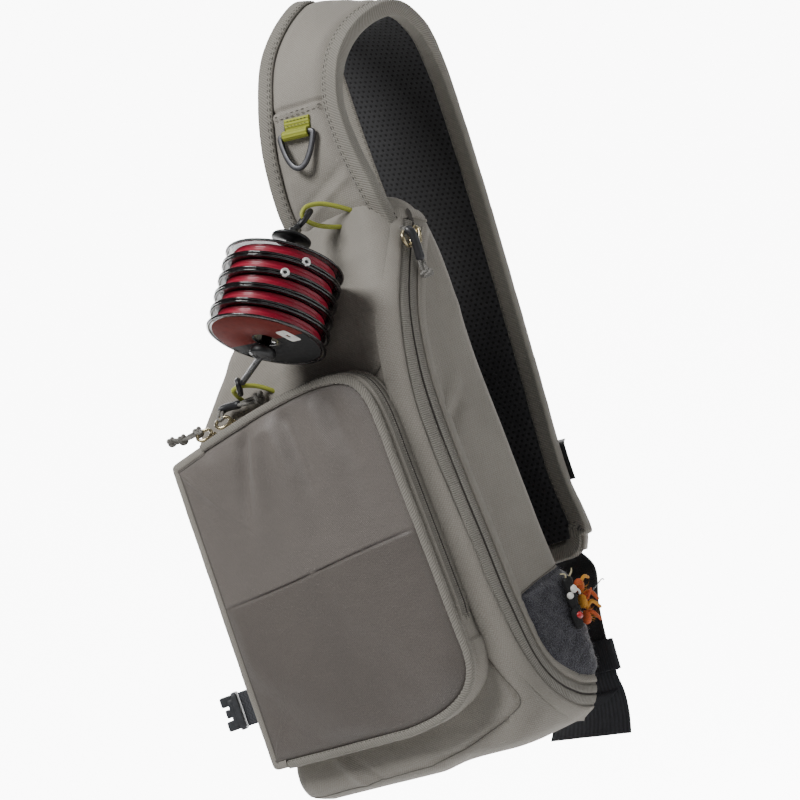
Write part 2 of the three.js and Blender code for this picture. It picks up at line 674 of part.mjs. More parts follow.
// Gear ring seen from the front: a rounded triangle with a straight bar at the top
function gearRing() {
  const half = RING.width / 2;
  const outer = new THREE.Shape();
  outer.moveTo(-half, RING.bar / 2);
  outer.lineTo(-half, -RING.bar);
  outer.quadraticCurveTo(-half * 0.5, -RING.drop, 0, -RING.drop);
  outer.quadraticCurveTo(half * 0.5, -RING.drop, half, -RING.bar);
  outer.lineTo(half, RING.bar / 2);
  const hole = new THREE.Path();
  const inside = half - RING.wire;
  hole.moveTo(-inside, -RING.bar / 2);
  hole.quadraticCurveTo(-inside * 0.5, -RING.drop + RING.wire, 0, -RING.drop + RING.wire);
  hole.quadraticCurveTo(inside * 0.5, -RING.drop + RING.wire, inside, -RING.bar / 2);
  outer.holes.push(hole);
  const settings = { depth: RING.bar, bevelEnabled: false, curveSegments: 6 };
  const geometry = new THREE.ExtrudeGeometry(outer, settings);
  geometry.applyMatrix4(ALONG_Y);
  geometry.translate(0, RING.bar / 2, 0);
  return toSolid(geometry);
}

// Webbing folded round the ring's bar, with a flat flap sewn up the strap
function ringTab() {
  const half = TAB.width / 2;
  const fold = disc(TAB.half, -half, half, 12);
  const bore = disc(TAB.bore, -half - 1, half + 1, 12);
  const across = new THREE.Matrix4().makeRotationY(Math.PI / 2);
  const flap = block([-half, TAB.half - 2 * TAB.flap, 0], [half, TAB.half, TAB.height]);
  return placed(fold, across).add(flap).subtract(placed(bore, across));
}

// A zip slider: a low box with a raised bridge, its length along Z and its back at X = 0
function zipSlider() {
  const { width, length, height } = SLIDER;
  const base = block([0, -width / 2, -length / 2], [height * 0.6, width / 2, length / 2]);
  const bridge = block([height * 0.5, -1.4, -length / 3], [height, 1.4, length / 3]);
  return base.add(bridge);
}

// Turns a slider so that its back faces down and its length runs across the bag
const UPRIGHT_SLIDER = new THREE.Matrix4().makeRotationY(-Math.PI / 2);

function wireRing(centre, axis, radius) {
  const geometry = new THREE.TorusGeometry(radius, PULL.wire, 5, 12);
  geometry.applyQuaternion(turnTo([0, 0, 1], vector(axis)));
  geometry.translate(...centre);
  return toSolid(geometry);
}

// A cord pull in one piece: a loop round the ring's wire, then its sleeve, its cord and its knots
function cordPull({ loopAt, runs, knots }, ring) {
  const axis = vector(ring.axis).normalize();
  const out = vector(loopAt).projectOnPlane(axis).normalize();
  const centre = vector(ring.at).addScaledVector(out, PULL.ring);
  const loop = new THREE.TorusGeometry(PULL.loop, PULL.cord, 5, 10);
  const wireWay = axis.clone().cross(out);
  loop.applyQuaternion(turnTo([0, 0, 1], wireWay));
  loop.translate(...centre.toArray());
  const start = vector(runs[0].from);
  const lead = centre.clone().addScaledVector(start.clone().sub(centre).normalize(), PULL.loop);
  const solids = [toSolid(loop), rod(lead.toArray(), start.toArray(), PULL.cord, 8)];
  runs.forEach(({ from, to, radius }) => solids.push(rod(from, to, radius, 8)));
  knots.forEach(({ at, radius }) => solids.push(ball(at, radius)));
  return joined(solids);
}

function blackFly() {
  const body = capsule([109.2, -10.4, 84], [109, -14, 55], 3);
  return joined([body, ball([110.5, -10.5, 77], 3.4), ball([110, -13, 61], 3.2)]);
}

function orangeFly() {
  const segments = [
    capsule([108.4, 3, 81], [108.6, 0.4, 74], 2.7),
    capsule([108.6, 0.4, 72], [108.8, -1.6, 64], 2.7),
    capsule([108.8, -2, 62], [108.9, -3.4, 55], 2.6),
  ];
  const legs = [
    capsule([109, 1, 71], [112, 12, 66], 1.6, 5),
    capsule([109, -1, 63], [113, 10, 61], 1.5, 5),
    capsule([109, -2, 61], [114, 4, 54], 1.4, 5),
  ];
  const hook = tube([[109, -1, 66], [111, 8, 71], [110.5, 20, 74], [109.5, 31, 76]], 0.6, 8, 5);
  return joined([...segments, ...legs, hook]);
}

function makeMesh(name, solid, look) {
  const mesh = new THREE.Mesh(toGeometry(solid), new THREE.MeshStandardMaterial(look));
  mesh.name = name;
  return mesh;
}

const bag = new THREE.Group();
bag.position.set(...SHOULDER_SEAT.map((value) => -value));

// Cloth body, pocket and back
const patchPrism = prism(PATCH_OUTLINE.map(({ y, z }) => new THREE.Vector2(y, z)), ALONG_X, 96, 130);
const backPrism = prism(
  points2([
    [BACK_PAD.left, BACK_PAD.bottom], [BACK_PAD.right, BACK_PAD.bottom], [BACK_PAD.right, BACK_PAD.top],
    [-40, BACK_PAD.top], [BACK_PAD.left, 250],
  ]),
  ALONG_Y, -4, 30,
);
const zipClear = zipPrism(ZIP.tape + 1, 0);
bag.add(
  makeMesh('body_shell', bodyShell(), GREY_CLOTH),
  makeMesh('back_panel', bodyLayer(backPrism, SEAM_GAP, BACK_PAD.thickness), MESH_CLOTH),
  makeMesh('main_zip', mainZip(), ZIP_TAPE),
  makeMesh('zip_garage', zipGarage(), GREY_CLOTH),
  makeMesh('fly_patch', bodyLayer(patchPrism, SEAM_GAP, PATCH_CLOTH).subtract(zipClear), FLEECE),
  makeMesh('pocket_gusset', pocketGusset(), GREY_CLOTH),
  makeMesh('pocket_zip', pocketZip(), ZIP_TAPE),
  makeMesh('pocket_binding', pocketBinding(), BINDING_CLOTH),
  makeMesh('pocket_panel_upper', panelPart(0, POCKET.seam + 0.2, 300), POCKET_CLOTH),
  makeMesh('pocket_panel_lower', panelPart(PANEL.lowerStep, 0, POCKET.seam - 0.2), POCKET_CLOTH),
);

// Strap and webbing
bag.add(
  makeMesh('strap_pad', strapPad(), GREY_CLOTH),
  makeMesh('strap_lining', strapLining(), MESH_CLOTH),
  makeMesh('strap_binding_right', strapBinding(1), BINDING_CLOTH),
  makeMesh('strap_binding_left', strapBinding(-1), BINDING_CLOTH),
  makeMesh('strap_webbing', ribbon(strapWebbing, WEBBING, 0, 20), BLACK_WEBBING),
  makeMesh('webbing_anchor', webbingAnchor(), BLACK_WEBBING),
  makeMesh('webbing_keeper', webbingKeeper(), BLACK_WEBBING),
  makeMesh('webbing_wing', clearOfBody(ribbon(WING_ROWS, WEBBING)), BLACK_WEBBING),
  makeMesh('webbing_loop', webbingLoop(), BLACK_WEBBING),
  makeMesh('side_webbing', clearOfBody(ribbon(SIDE_WEBBING, WEBBING)), BLACK_WEBBING),
);
const buckle = new THREE.Group();
buckle.position.set(...SIDE_BUCKLE.at);
buckle.rotation.z = SIDE_BUCKLE.turn;
const [plateX, plateY, plateZ] = SIDE_BUCKLE.plate.map((value) => value / 2);
const [blockX, blockY, blockZ] = SIDE_BUCKLE.block;
buckle.add(makeMesh(
  'side_buckle',
  block([-plateX, -plateY, -plateZ], [plateX, plateY, plateZ])
    .add(block([-plateX - blockX, -blockY, -blockZ], [0, blockY, blockZ])),
  BLACK_PLASTIC,
));
bag.add(buckle);

// Gear ring in its tab
const ringGroup = new THREE.Group();
ringGroup.position.set(...RING.at);
ringGroup.rotation.set(-RING.lean, RING.tilt, RING.turn);
ringGroup.add(makeMesh('gear_ring', gearRing(), GUNMETAL), makeMesh('ring_tab', ringTab(), GREEN_CORD));
bag.add(ringGroup);

// Dock cords and the spool bar between them
bag.add(
  makeMesh('dock_cord_top', clearOfBody(tube(TOP_DOCK, DOCK_CORD, 16, 6)), GREEN_CORD),
  makeMesh('dock_cord_low', clearOfBody(tube(LOW_DOCK, DOCK_CORD, 16, 6)), GREEN_CORD),
  makeMesh('spool_bar', spoolBar(), BLACK_PLASTIC),
);
const stack = new THREE.Group();
stack.position.copy(stackCentre);
stack.quaternion.copy(stackTurn);
for (let place = 0; place < SPOOL.count; place += 1) {
  const spool = new THREE.Group();
  spool.position.z = ((SPOOL.count - 1) / 2 - place) * SPOOL.pitch;
  spool.add(
    makeMesh(`spool_${place + 1}`, spoolBody(), CLEAR_PLASTIC),
    makeMesh(`spool_line_${place + 1}`, lineWinding(), RED_LINE),
  );
  stack.add(spool);
}
bag.add(stack);

// Zip sliders, their rings and their cord pulls
const mainSlider = new THREE.Group();
mainSlider.position.set(...MAIN_SLIDER.at);
mainSlider.rotation.x = MAIN_SLIDER.lean;
mainSlider.add(makeMesh('main_slider', zipSlider(), GUNMETAL));
const addPull = (name, ring, pull) => bag.add(
  makeMesh(`${name}_ring`, wireRing(ring.at, ring.axis, PULL.ring), GUNMETAL),
  makeMesh(`${name}_pull`, cordPull(pull, ring), FLECKED_CORD),
);
bag.add(mainSlider);
addPull('main', MAIN_PULL.ring, MAIN_PULL);
for (const [letter, pull] of [['a', PULL_A], ['b', PULL_B]]) {
  const slider = new THREE.Group();
  const at = POCKET_SLIDERS[letter].map((value, axis) => value + POCKET_RING.offset[axis]);
  slider.position.set(...POCKET_SLIDERS[letter]);
  slider.rotation.set(0, -POCKET_SLOPE, 0);
  slider.add(makeMesh(`pocket_slider_${letter}`, placed(zipSlider(), UPRIGHT_SLIDER), GUNMETAL));
  bag.add(slider);
  addPull(`pocket_${letter}`, { at, axis: POCKET_RING.axis }, pull);
}

// Flies stuck in the fleece
bag.add(
  makeMesh('black_fly', blackFly(), BLACK_PLASTIC),
  makeMesh('orange_fly', orangeFly(), ORANGE_FOAM),
);

export default bag;
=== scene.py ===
"""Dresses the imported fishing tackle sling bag: cloth, mesh, webbing, zips, cords, spools and flies.

Sizes are in millimetres from the foot of the bag's back panel, as in the CAD source. They become
metres in the row frame, whose origin is the shoulder seat of the strap, when a mesh is made.
"""

import logging
import math
from dataclasses import dataclass, field
from enum import Enum
from enum import Enum
from typing import Any
import bmesh
import bpy
import numpy as np
from mathutils import Matrix, Vector
from mathutils.bvhtree import BVHTree

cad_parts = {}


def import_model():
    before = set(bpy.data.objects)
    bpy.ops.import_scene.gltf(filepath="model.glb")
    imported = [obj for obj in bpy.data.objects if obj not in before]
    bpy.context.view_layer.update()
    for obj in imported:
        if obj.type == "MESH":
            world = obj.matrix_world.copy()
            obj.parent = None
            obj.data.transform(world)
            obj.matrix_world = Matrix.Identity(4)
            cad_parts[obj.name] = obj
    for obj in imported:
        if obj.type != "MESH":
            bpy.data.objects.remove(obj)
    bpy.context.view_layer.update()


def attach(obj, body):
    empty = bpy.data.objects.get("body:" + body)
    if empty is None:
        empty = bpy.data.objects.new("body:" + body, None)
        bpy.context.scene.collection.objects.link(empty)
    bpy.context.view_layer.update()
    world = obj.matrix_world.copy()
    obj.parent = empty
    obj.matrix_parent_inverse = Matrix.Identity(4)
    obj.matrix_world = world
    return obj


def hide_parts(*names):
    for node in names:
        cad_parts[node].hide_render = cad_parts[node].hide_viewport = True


LOG = logging.getLogger("sling_bag")

Array = np.ndarray
Socket = bpy.types.NodeSocket
Point = tuple[float, float, float]

SHOULDER_SEAT = np.array([67.0, 36.0, 478.0])
MILLIMETRE = 0.001
TURN = 2 * math.pi
BAG = "bag"

# Main body, from the foot up: height, left, right at the back, front, back, corner radius
BODY_LEVELS = np.array([
    (0, -94, 92, -64, -6, 15), (5, -100, 98, -71, 0, 16), (20, -103, 103, -74, 4, 16),
    (60, -103, 105, -72, 5, 16), (130, -103, 102, -70, 5, 16), (200, -103, 100, -69, 5, 16),
    (240, -101, 99, -68, 5, 16), (268, -76, 99, -64, 5, 15), (297, -50, 99, -55, 5, 14),
    (325, -24, 98, -46, 3, 13), (338, -9, 95, -42, -3, 11), (346, 4, 90, -39, -10, 9),
    (350, 12, 83, -36, -16, 7),
], float)
SIDE_FLARE = 12.0
ZIP_PATH = np.array([
    (-17, 327), (-34, 300), (-48, 272), (-56, 240), (-59, 205), (-59, 165), (-58, 125), (-58, 85),
    (-54, 52), (-43, 31), (-25, 17), (-8, 11.5),
], float)
STRAP_RIGHT = np.array([
    (90, -33, 340), (88, -35, 359), (84, -35, 388), (82, -30, 417), (85, -15, 445), (93, 10, 465),
    (102, 38, 471), (101, 62, 458), (94, 80, 437), (88, 90, 404), (84, 93, 350), (83, 88, 290),
    (85, 76, 215), (90, 60, 145), (98, 51, 106), (94, 49, 94),
], float)
STRAP_LEFT = np.array([
    (14, -33, 346), (14, -36, 366), (20, -40, 401), (28, -38, 433), (29, -20, 464), (34, 5, 489),
    (33, 33, 502), (25, 58, 493), (14, 74, 468), (8, 80, 430), (8, 80, 372), (11, 76, 305),
    (16, 64, 224), (22, 50, 150), (31, 44, 107), (38, 44, 94),
], float)
STACK_TOP = np.array([40, -85, 324.5])
STACK_BOTTOM = np.array([27.5, -111.5, 282])
SPOOL_COUNT = 5
SPOOL_PITCH = 10.3


def to_row(points: Array) -> Array:
    """Turns bag millimetres into row metres."""
    return (np.asarray(points, float) - SHOULDER_SEAT) * MILLIMETRE


def unit(vectors: Array) -> Array:
    """Scales vectors along the last axis to length one."""
    vectors = np.asarray(vectors, float)
    length = np.linalg.norm(vectors, axis=-1, keepdims=True)
    return vectors / np.maximum(length, 1e-12)


def smooth_step(low: float, high: float, values: Array) -> Array:
    """Rises smoothly from 0 at low to 1 at high."""
    share = np.clip((np.asarray(values, float) - low) / (high - low), 0.0, 1.0)
    return share * share * (3.0 - 2.0 * share)


def bump_of(distance: Array, width: float) -> Array:
    """A round bump, 1 at distance 0 and nearly 0 beyond twice the width."""
    return np.exp(-((np.asarray(distance, float) / width) ** 2))


def monotone(x: Array, y: Array, at: Array) -> Array:
    """Interpolates a table smoothly without overshoot.

    Args:
        x: rising positions of the rows.
        y: one value a row.
        at: positions to read.

    Returns:
        The value at each position.
    """
    step = np.diff(x)
    slope = np.diff(y) / step
    tangent = np.zeros(len(x))
    tangent[0], tangent[-1] = slope[0], slope[-1]
    for row in range(1, len(x) - 1):
        if slope[row - 1] * slope[row] > 0:
            near, far = 2 * step[row] + step[row - 1], step[row] + 2 * step[row - 1]
            tangent[row] = (near + far) / (near / slope[row - 1] + far / slope[row])
    at = np.clip(at, x[0], x[-1])
    row = np.clip(np.searchsorted(x, at) - 1, 0, len(step) - 1)
    share = (at - x[row]) / step[row]
    left = 1 - share
    first = (1 + 2 * share) * left ** 2 * y[row] + share * left ** 2 * step[row] * tangent[row]
    rise = share ** 2 * (share - 1) * step[row] * tangent[row + 1]
    return first + share ** 2 * (3 - 2 * share) * y[row + 1] + rise


def circle(count: int, closed: bool = False) -> tuple[Array, Array]:
    """Cosines and sines of even steps round a circle, as columns."""
    angle = np.linspace(0, TURN, count, endpoint=closed)
    return np.cos(angle)[:, None], np.sin(angle)[:, None]


def eased(values: Array, power: float) -> Array:
    """Raises values to a power and keeps their signs, which squares a circle off."""
    return np.sign(values) * np.abs(values) ** power


def table_map(down: Array, over: Array) -> Array:
    """A grid's cloth map from the distances of its rows and of its columns."""
    return np.stack(np.meshgrid(down, over, indexing="ij"), 2)


def fitted_map(down: Array, over: Array) -> Array:
    """A grid's cloth map from distances that already fit each other."""
    return np.stack(np.broadcast_arrays(down, over), 2)


def waves(points: Array, size: float, seed: int, octaves: int = 3) -> Array:
    """Soft seeded unevenness in space, about -1 to 1.

    Args:
        points: positions, in mm.
        size: length of the broadest wave, in mm.
        seed: which pattern.
        octaves: how many finer layers are added.

    Returns:
        One value a point.
    """
    rng = np.random.default_rng(seed)
    total = np.zeros(points.shape[:-1])
    weight, reach = 1.0, 0.0
    for _ in range(octaves):
        for _ in range(4):
            direction = unit(rng.normal(size=3)) * (2 * math.pi / size)
            total += weight * np.sin(points @ direction + rng.uniform(0, 2 * math.pi)) / 2
        reach += weight
        weight, size = weight * 0.55, size * 0.52
    return total / reach


class Curve:
    """A smooth curve through points, spaced by the square root of their distance."""

    def __init__(self, points: Array) -> None:
        """Keeps the points that the curve passes through."""
        self.points = np.asarray(points, float)

    def at(self, places: Array) -> Array:
        """Points at shares 0 to 1 of the row count."""
        last = len(self.points) - 1
        padded = np.vstack([
            2 * self.points[0] - self.points[1], self.points, 2 * self.points[-1] - self.points[-2],
        ])
        place = np.clip(np.atleast_1d(np.asarray(places, float)), 0, 1) * last
        row = np.minimum(place.astype(int), last - 1)
        share = (place - row)[:, None]
        a, b, c, d = (padded[row + offset] for offset in range(4))
        gaps = [
            np.sqrt(np.linalg.norm(q - p, axis=1, keepdims=True))
            for p, q in ((a, b), (b, c), (c, d))
        ]
        before = ((b - a) / gaps[0] - (c - a) / (gaps[0] + gaps[1]) + (c - b) / gaps[1]) * gaps[1]
        after = ((c - b) / gaps[1] - (d - b) / (gaps[1] + gaps[2]) + (d - c) / gaps[2]) * gaps[1]
        square = -3 * b + 3 * c - 2 * before - after
        cube = 2 * b - 2 * c + before + after
        return b + share * (before + share * (square + share * cube))

    def tangent(self, places: Array) -> Array:
        """Directions at shares 0 to 1."""
        places = np.clip(np.atleast_1d(np.asarray(places, float)), 0, 1)
        reach = 1e-4
        return unit(self.at(np.minimum(places + reach, 1)) - self.at(np.maximum(places - reach, 0)))

    def even(self, count: int, start: float = 0.0, stop: float = 1.0) -> Array:
        """Points at even distances between two shares."""
        return resampled(self.at(np.linspace(start, stop, count * 4)), count)


def resampled(line: Array, count: int) -> Array:
    """A line with the same shape and evenly spaced points."""
    steps = lengths(line)
    at = np.linspace(0, steps[-1], count)
    return np.stack([np.interp(at, steps, line[:, axis]) for axis in range(line.shape[1])], 1)


def lengths(line: Array) -> Array:
    """Distance along a line at each of its points."""
    return np.concatenate([[0], np.cumsum(np.linalg.norm(np.diff(line, axis=0), axis=1))])


def line_distance(points: Array, line: Array) -> Array:
    """Distance of each point from a line of short runs, in any number of dimensions."""
    flat = points.reshape(-1, points.shape[-1])
    best = np.full(len(flat), np.inf)
    for a, b in zip(line[:-1], line[1:]):
        run = b - a
        share = np.clip(((flat - a) @ run) / max(run @ run, 1e-9), 0, 1)
        best = np.minimum(best, np.linalg.norm(flat - a - share[:, None] * run, axis=1))
    return best.reshape(points.shape[:-1])


class Pattern(Enum):
    """What a surface is made of, close up."""

    PLAIN = "plain weave"
    RIBBED = "ribbed tape"
    AIR_MESH = "open mesh"
    FLEECE = "pile"
    TWILL = "webbing"
    BRAID = "braid"
    WOUND = "wound line"
    SMOOTH = "moulded or cast"


@dataclass(frozen=True)
class Finish:
    """A procedural material: colours, pattern at its real pitch in mm, relief in mm and gloss."""

    name: str
    slot: str
    color: str
    second: str
    pattern: Pattern
    pitch: float = 1.0
    slant: float = 0.0
    relief: float = 0.1
    roughness: float = 0.85
    metallic: float = 0.0
    sheen: float = 0.0
    coat: float = 0.0
    speckle: float = 0.5
    mottle: float = 0.25
    # how strongly the shade attribute darkens the colour: painted shade
    shade_strength: float = 0.35
    alpha: float = 1.0


def moulded(
    name: str, slot: str, color: str, second: str, roughness: float, relief: float = 0.01,
    **more: float,
) -> Finish:
    """A finish with no weave: moulded, cast or printed."""
    return Finish(
        name, slot, color, second, Pattern.SMOOTH, relief=relief, roughness=roughness, **more,
    )


class Finishes:
    """All the bag's materials."""

    CLOTH = Finish(
        "grey_cloth", "grey_cloth", "#a39e95", "#6d6860", Pattern.PLAIN, 1.2, 0.62, 0.28, 0.82,
        sheen=0.1,
    )
    POCKET = Finish(
        "pocket_cloth", "pocket_cloth", "#7e7771", "#5a544f", Pattern.PLAIN, 1.0, 0.5, 0.2, 0.5,
        sheen=0.15, speckle=1.2,
    )
    BINDING = Finish(
        "ribbed_binding", "binding_cloth", "#918d84", "#5f5b54", Pattern.RIBBED, 1.5, 0.6, 0.35,
        0.85, sheen=0.1,
    )
    PIPING = Finish(
        "dark_piping", "pocket_cloth", "#6a655f", "#4a4642", Pattern.RIBBED, 1.1, 0.45, 0.1, 0.8,
    )
    TAPE = Finish("zip_tape", "zip_tape", "#8b877f", "#67635c", Pattern.PLAIN, 0.9, 0.0, 0.12, 0.75)
    COIL = Finish("zip_coil", "zip_tape", "#8f8b82", "#4b4843", Pattern.RIBBED, 1.3, 0.0, 0.55, 0.6)
    MESH = Finish(
        "air_mesh", "air_mesh", "#2c2c2e", "#030303", Pattern.AIR_MESH, 3.6, 0.0, 1.0, 0.8,
        speckle=0.3,
    )
    FLEECE = Finish(
        "fleece", "fleece", "#5b5b63", "#1b1b20", Pattern.FLEECE, 1.1, 0.0, 0.6, 1.0, sheen=0.5,
    )
    WEBBING = Finish(
        "black_webbing", "webbing", "#242528", "#101113", Pattern.TWILL, 1.6, 0.0, 0.16, 0.55,
        sheen=0.3,
    )
    ELASTIC = Finish(
        "black_elastic", "webbing", "#34353a", "#17181a", Pattern.RIBBED, 1.3, 1.57, 0.16, 0.8,
    )
    HEATHER = Finish(
        "heather_webbing", "webbing", "#4a4c52", "#1c1d20", Pattern.TWILL, 1.8, 0.0, 0.2, 0.8,
    )
    GREEN_TAPE = Finish(
        "green_webbing", "green_cloth", "#a9af3a", "#6f7422", Pattern.RIBBED, 1.9, 0.0, 0.3, 0.7,
    )
    GREEN_CORD = Finish(
        "green_cord", "green_cloth", "#b2b84a", "#7a7f2b", Pattern.BRAID, 1.2, 0.0, 0.15, 0.6,
    )
    PULL_CORD = Finish(
        "pull_cord", "pull_cord", "#a5a29b", "#2f2e2d", Pattern.BRAID, 1.3, 0.0, 0.3, 0.8,
        speckle=1.4,
    )
    SLEEVE = moulded("sleeve_rubber", "pull_cord", "#2b2b2d", "#1c1c1e", 0.42, 0.05)
    GUNMETAL = moulded("gunmetal", "gunmetal", "#5e5e61", "#3a3a3d", 0.42, 0.03, metallic=0.9)
    GOLD = moulded("antique_gold", "ring_metal", "#c8bb99", "#84765a", 0.28, 0.02, metallic=1.0)
    SILVER = moulded("eyelet_silver", "gunmetal", "#efeeea", "#cfcfcb", 0.3, 0.02, metallic=0.4)
    BLACK = moulded("black_plastic", "black_plastic", "#0d0e0f", "#060607", 0.5, 0.03, coat=0.08)
    DARK = moulded("dark_plastic", "dark_plastic", "#3a3c40", "#202124", 0.55, 0.08)
    CLEAR = moulded(
        "clear_plastic", "clear_plastic", "#2c2224", "#120e10", 0.12, coat=0.5, alpha=0.74,
    )
    RIM = moulded("spool_rim", "clear_plastic", "#1a1517", "#0b090a", 0.12, coat=0.8, alpha=0.88)
    LINE = Finish(
        "red_line", "red_line", "#b8183a", "#6e0a20", Pattern.WOUND, 0.55, 0.0, 0.12, 0.38,
        coat=0.4,
    )
    LABEL = moulded("disc_label", "red_line", "#6a1d13", "#50140d", 0.9)
    BLACK_FOAM = Finish(
        "black_foam", "black_foam", "#1c1c1d", "#0b0b0b", Pattern.FLEECE, 0.7, 0.0, 0.15, 0.8,
    )
    PALE_FOAM = Finish(
        "pale_foam", "black_foam", "#d8cfae", "#b3a883", Pattern.FLEECE, 0.8, 0.0, 0.12, 0.8,
    )
    ORANGE = Finish(
        "orange_foam", "orange_foam", "#d9642c", "#a8451b", Pattern.FLEECE, 0.8, 0.0, 0.15, 0.75,
    )
    YELLOW = Finish(
        "yellow_foam", "orange_foam", "#e2a63c", "#c07f22", Pattern.FLEECE, 0.8, 0.0, 0.12, 0.75,
    )
    RED_BEAD = moulded("red_bead", "red_line", "#c8282c", "#901a1e", 0.25, coat=0.5)
    WHITE_BEAD = moulded("white_bead", "pull_cord", "#f1efe9", "#cfccc4", 0.3)
    THREAD = Finish(
        "grey_thread", "binding_cloth", "#5a5650", "#3b3834", Pattern.BRAID, 0.6, 0.0, 0.05, 0.75,
    )
    DARK_THREAD = Finish(
        "dark_thread", "pocket_cloth", "#4b4742", "#322f2c", Pattern.BRAID, 0.6, 0.0, 0.05, 0.75,
    )


def linear(code: str) -> tuple[float, float, float, float]:
    """A colour code as linear light."""
    parts = np.array([int(code[place:place + 2], 16) for place in (1, 3, 5)]) / 255
    light = np.where(parts <= 0.04045, parts / 12.92, ((parts + 0.055) / 1.055) ** 2.4)
    return (*light.tolist(), 1.0)


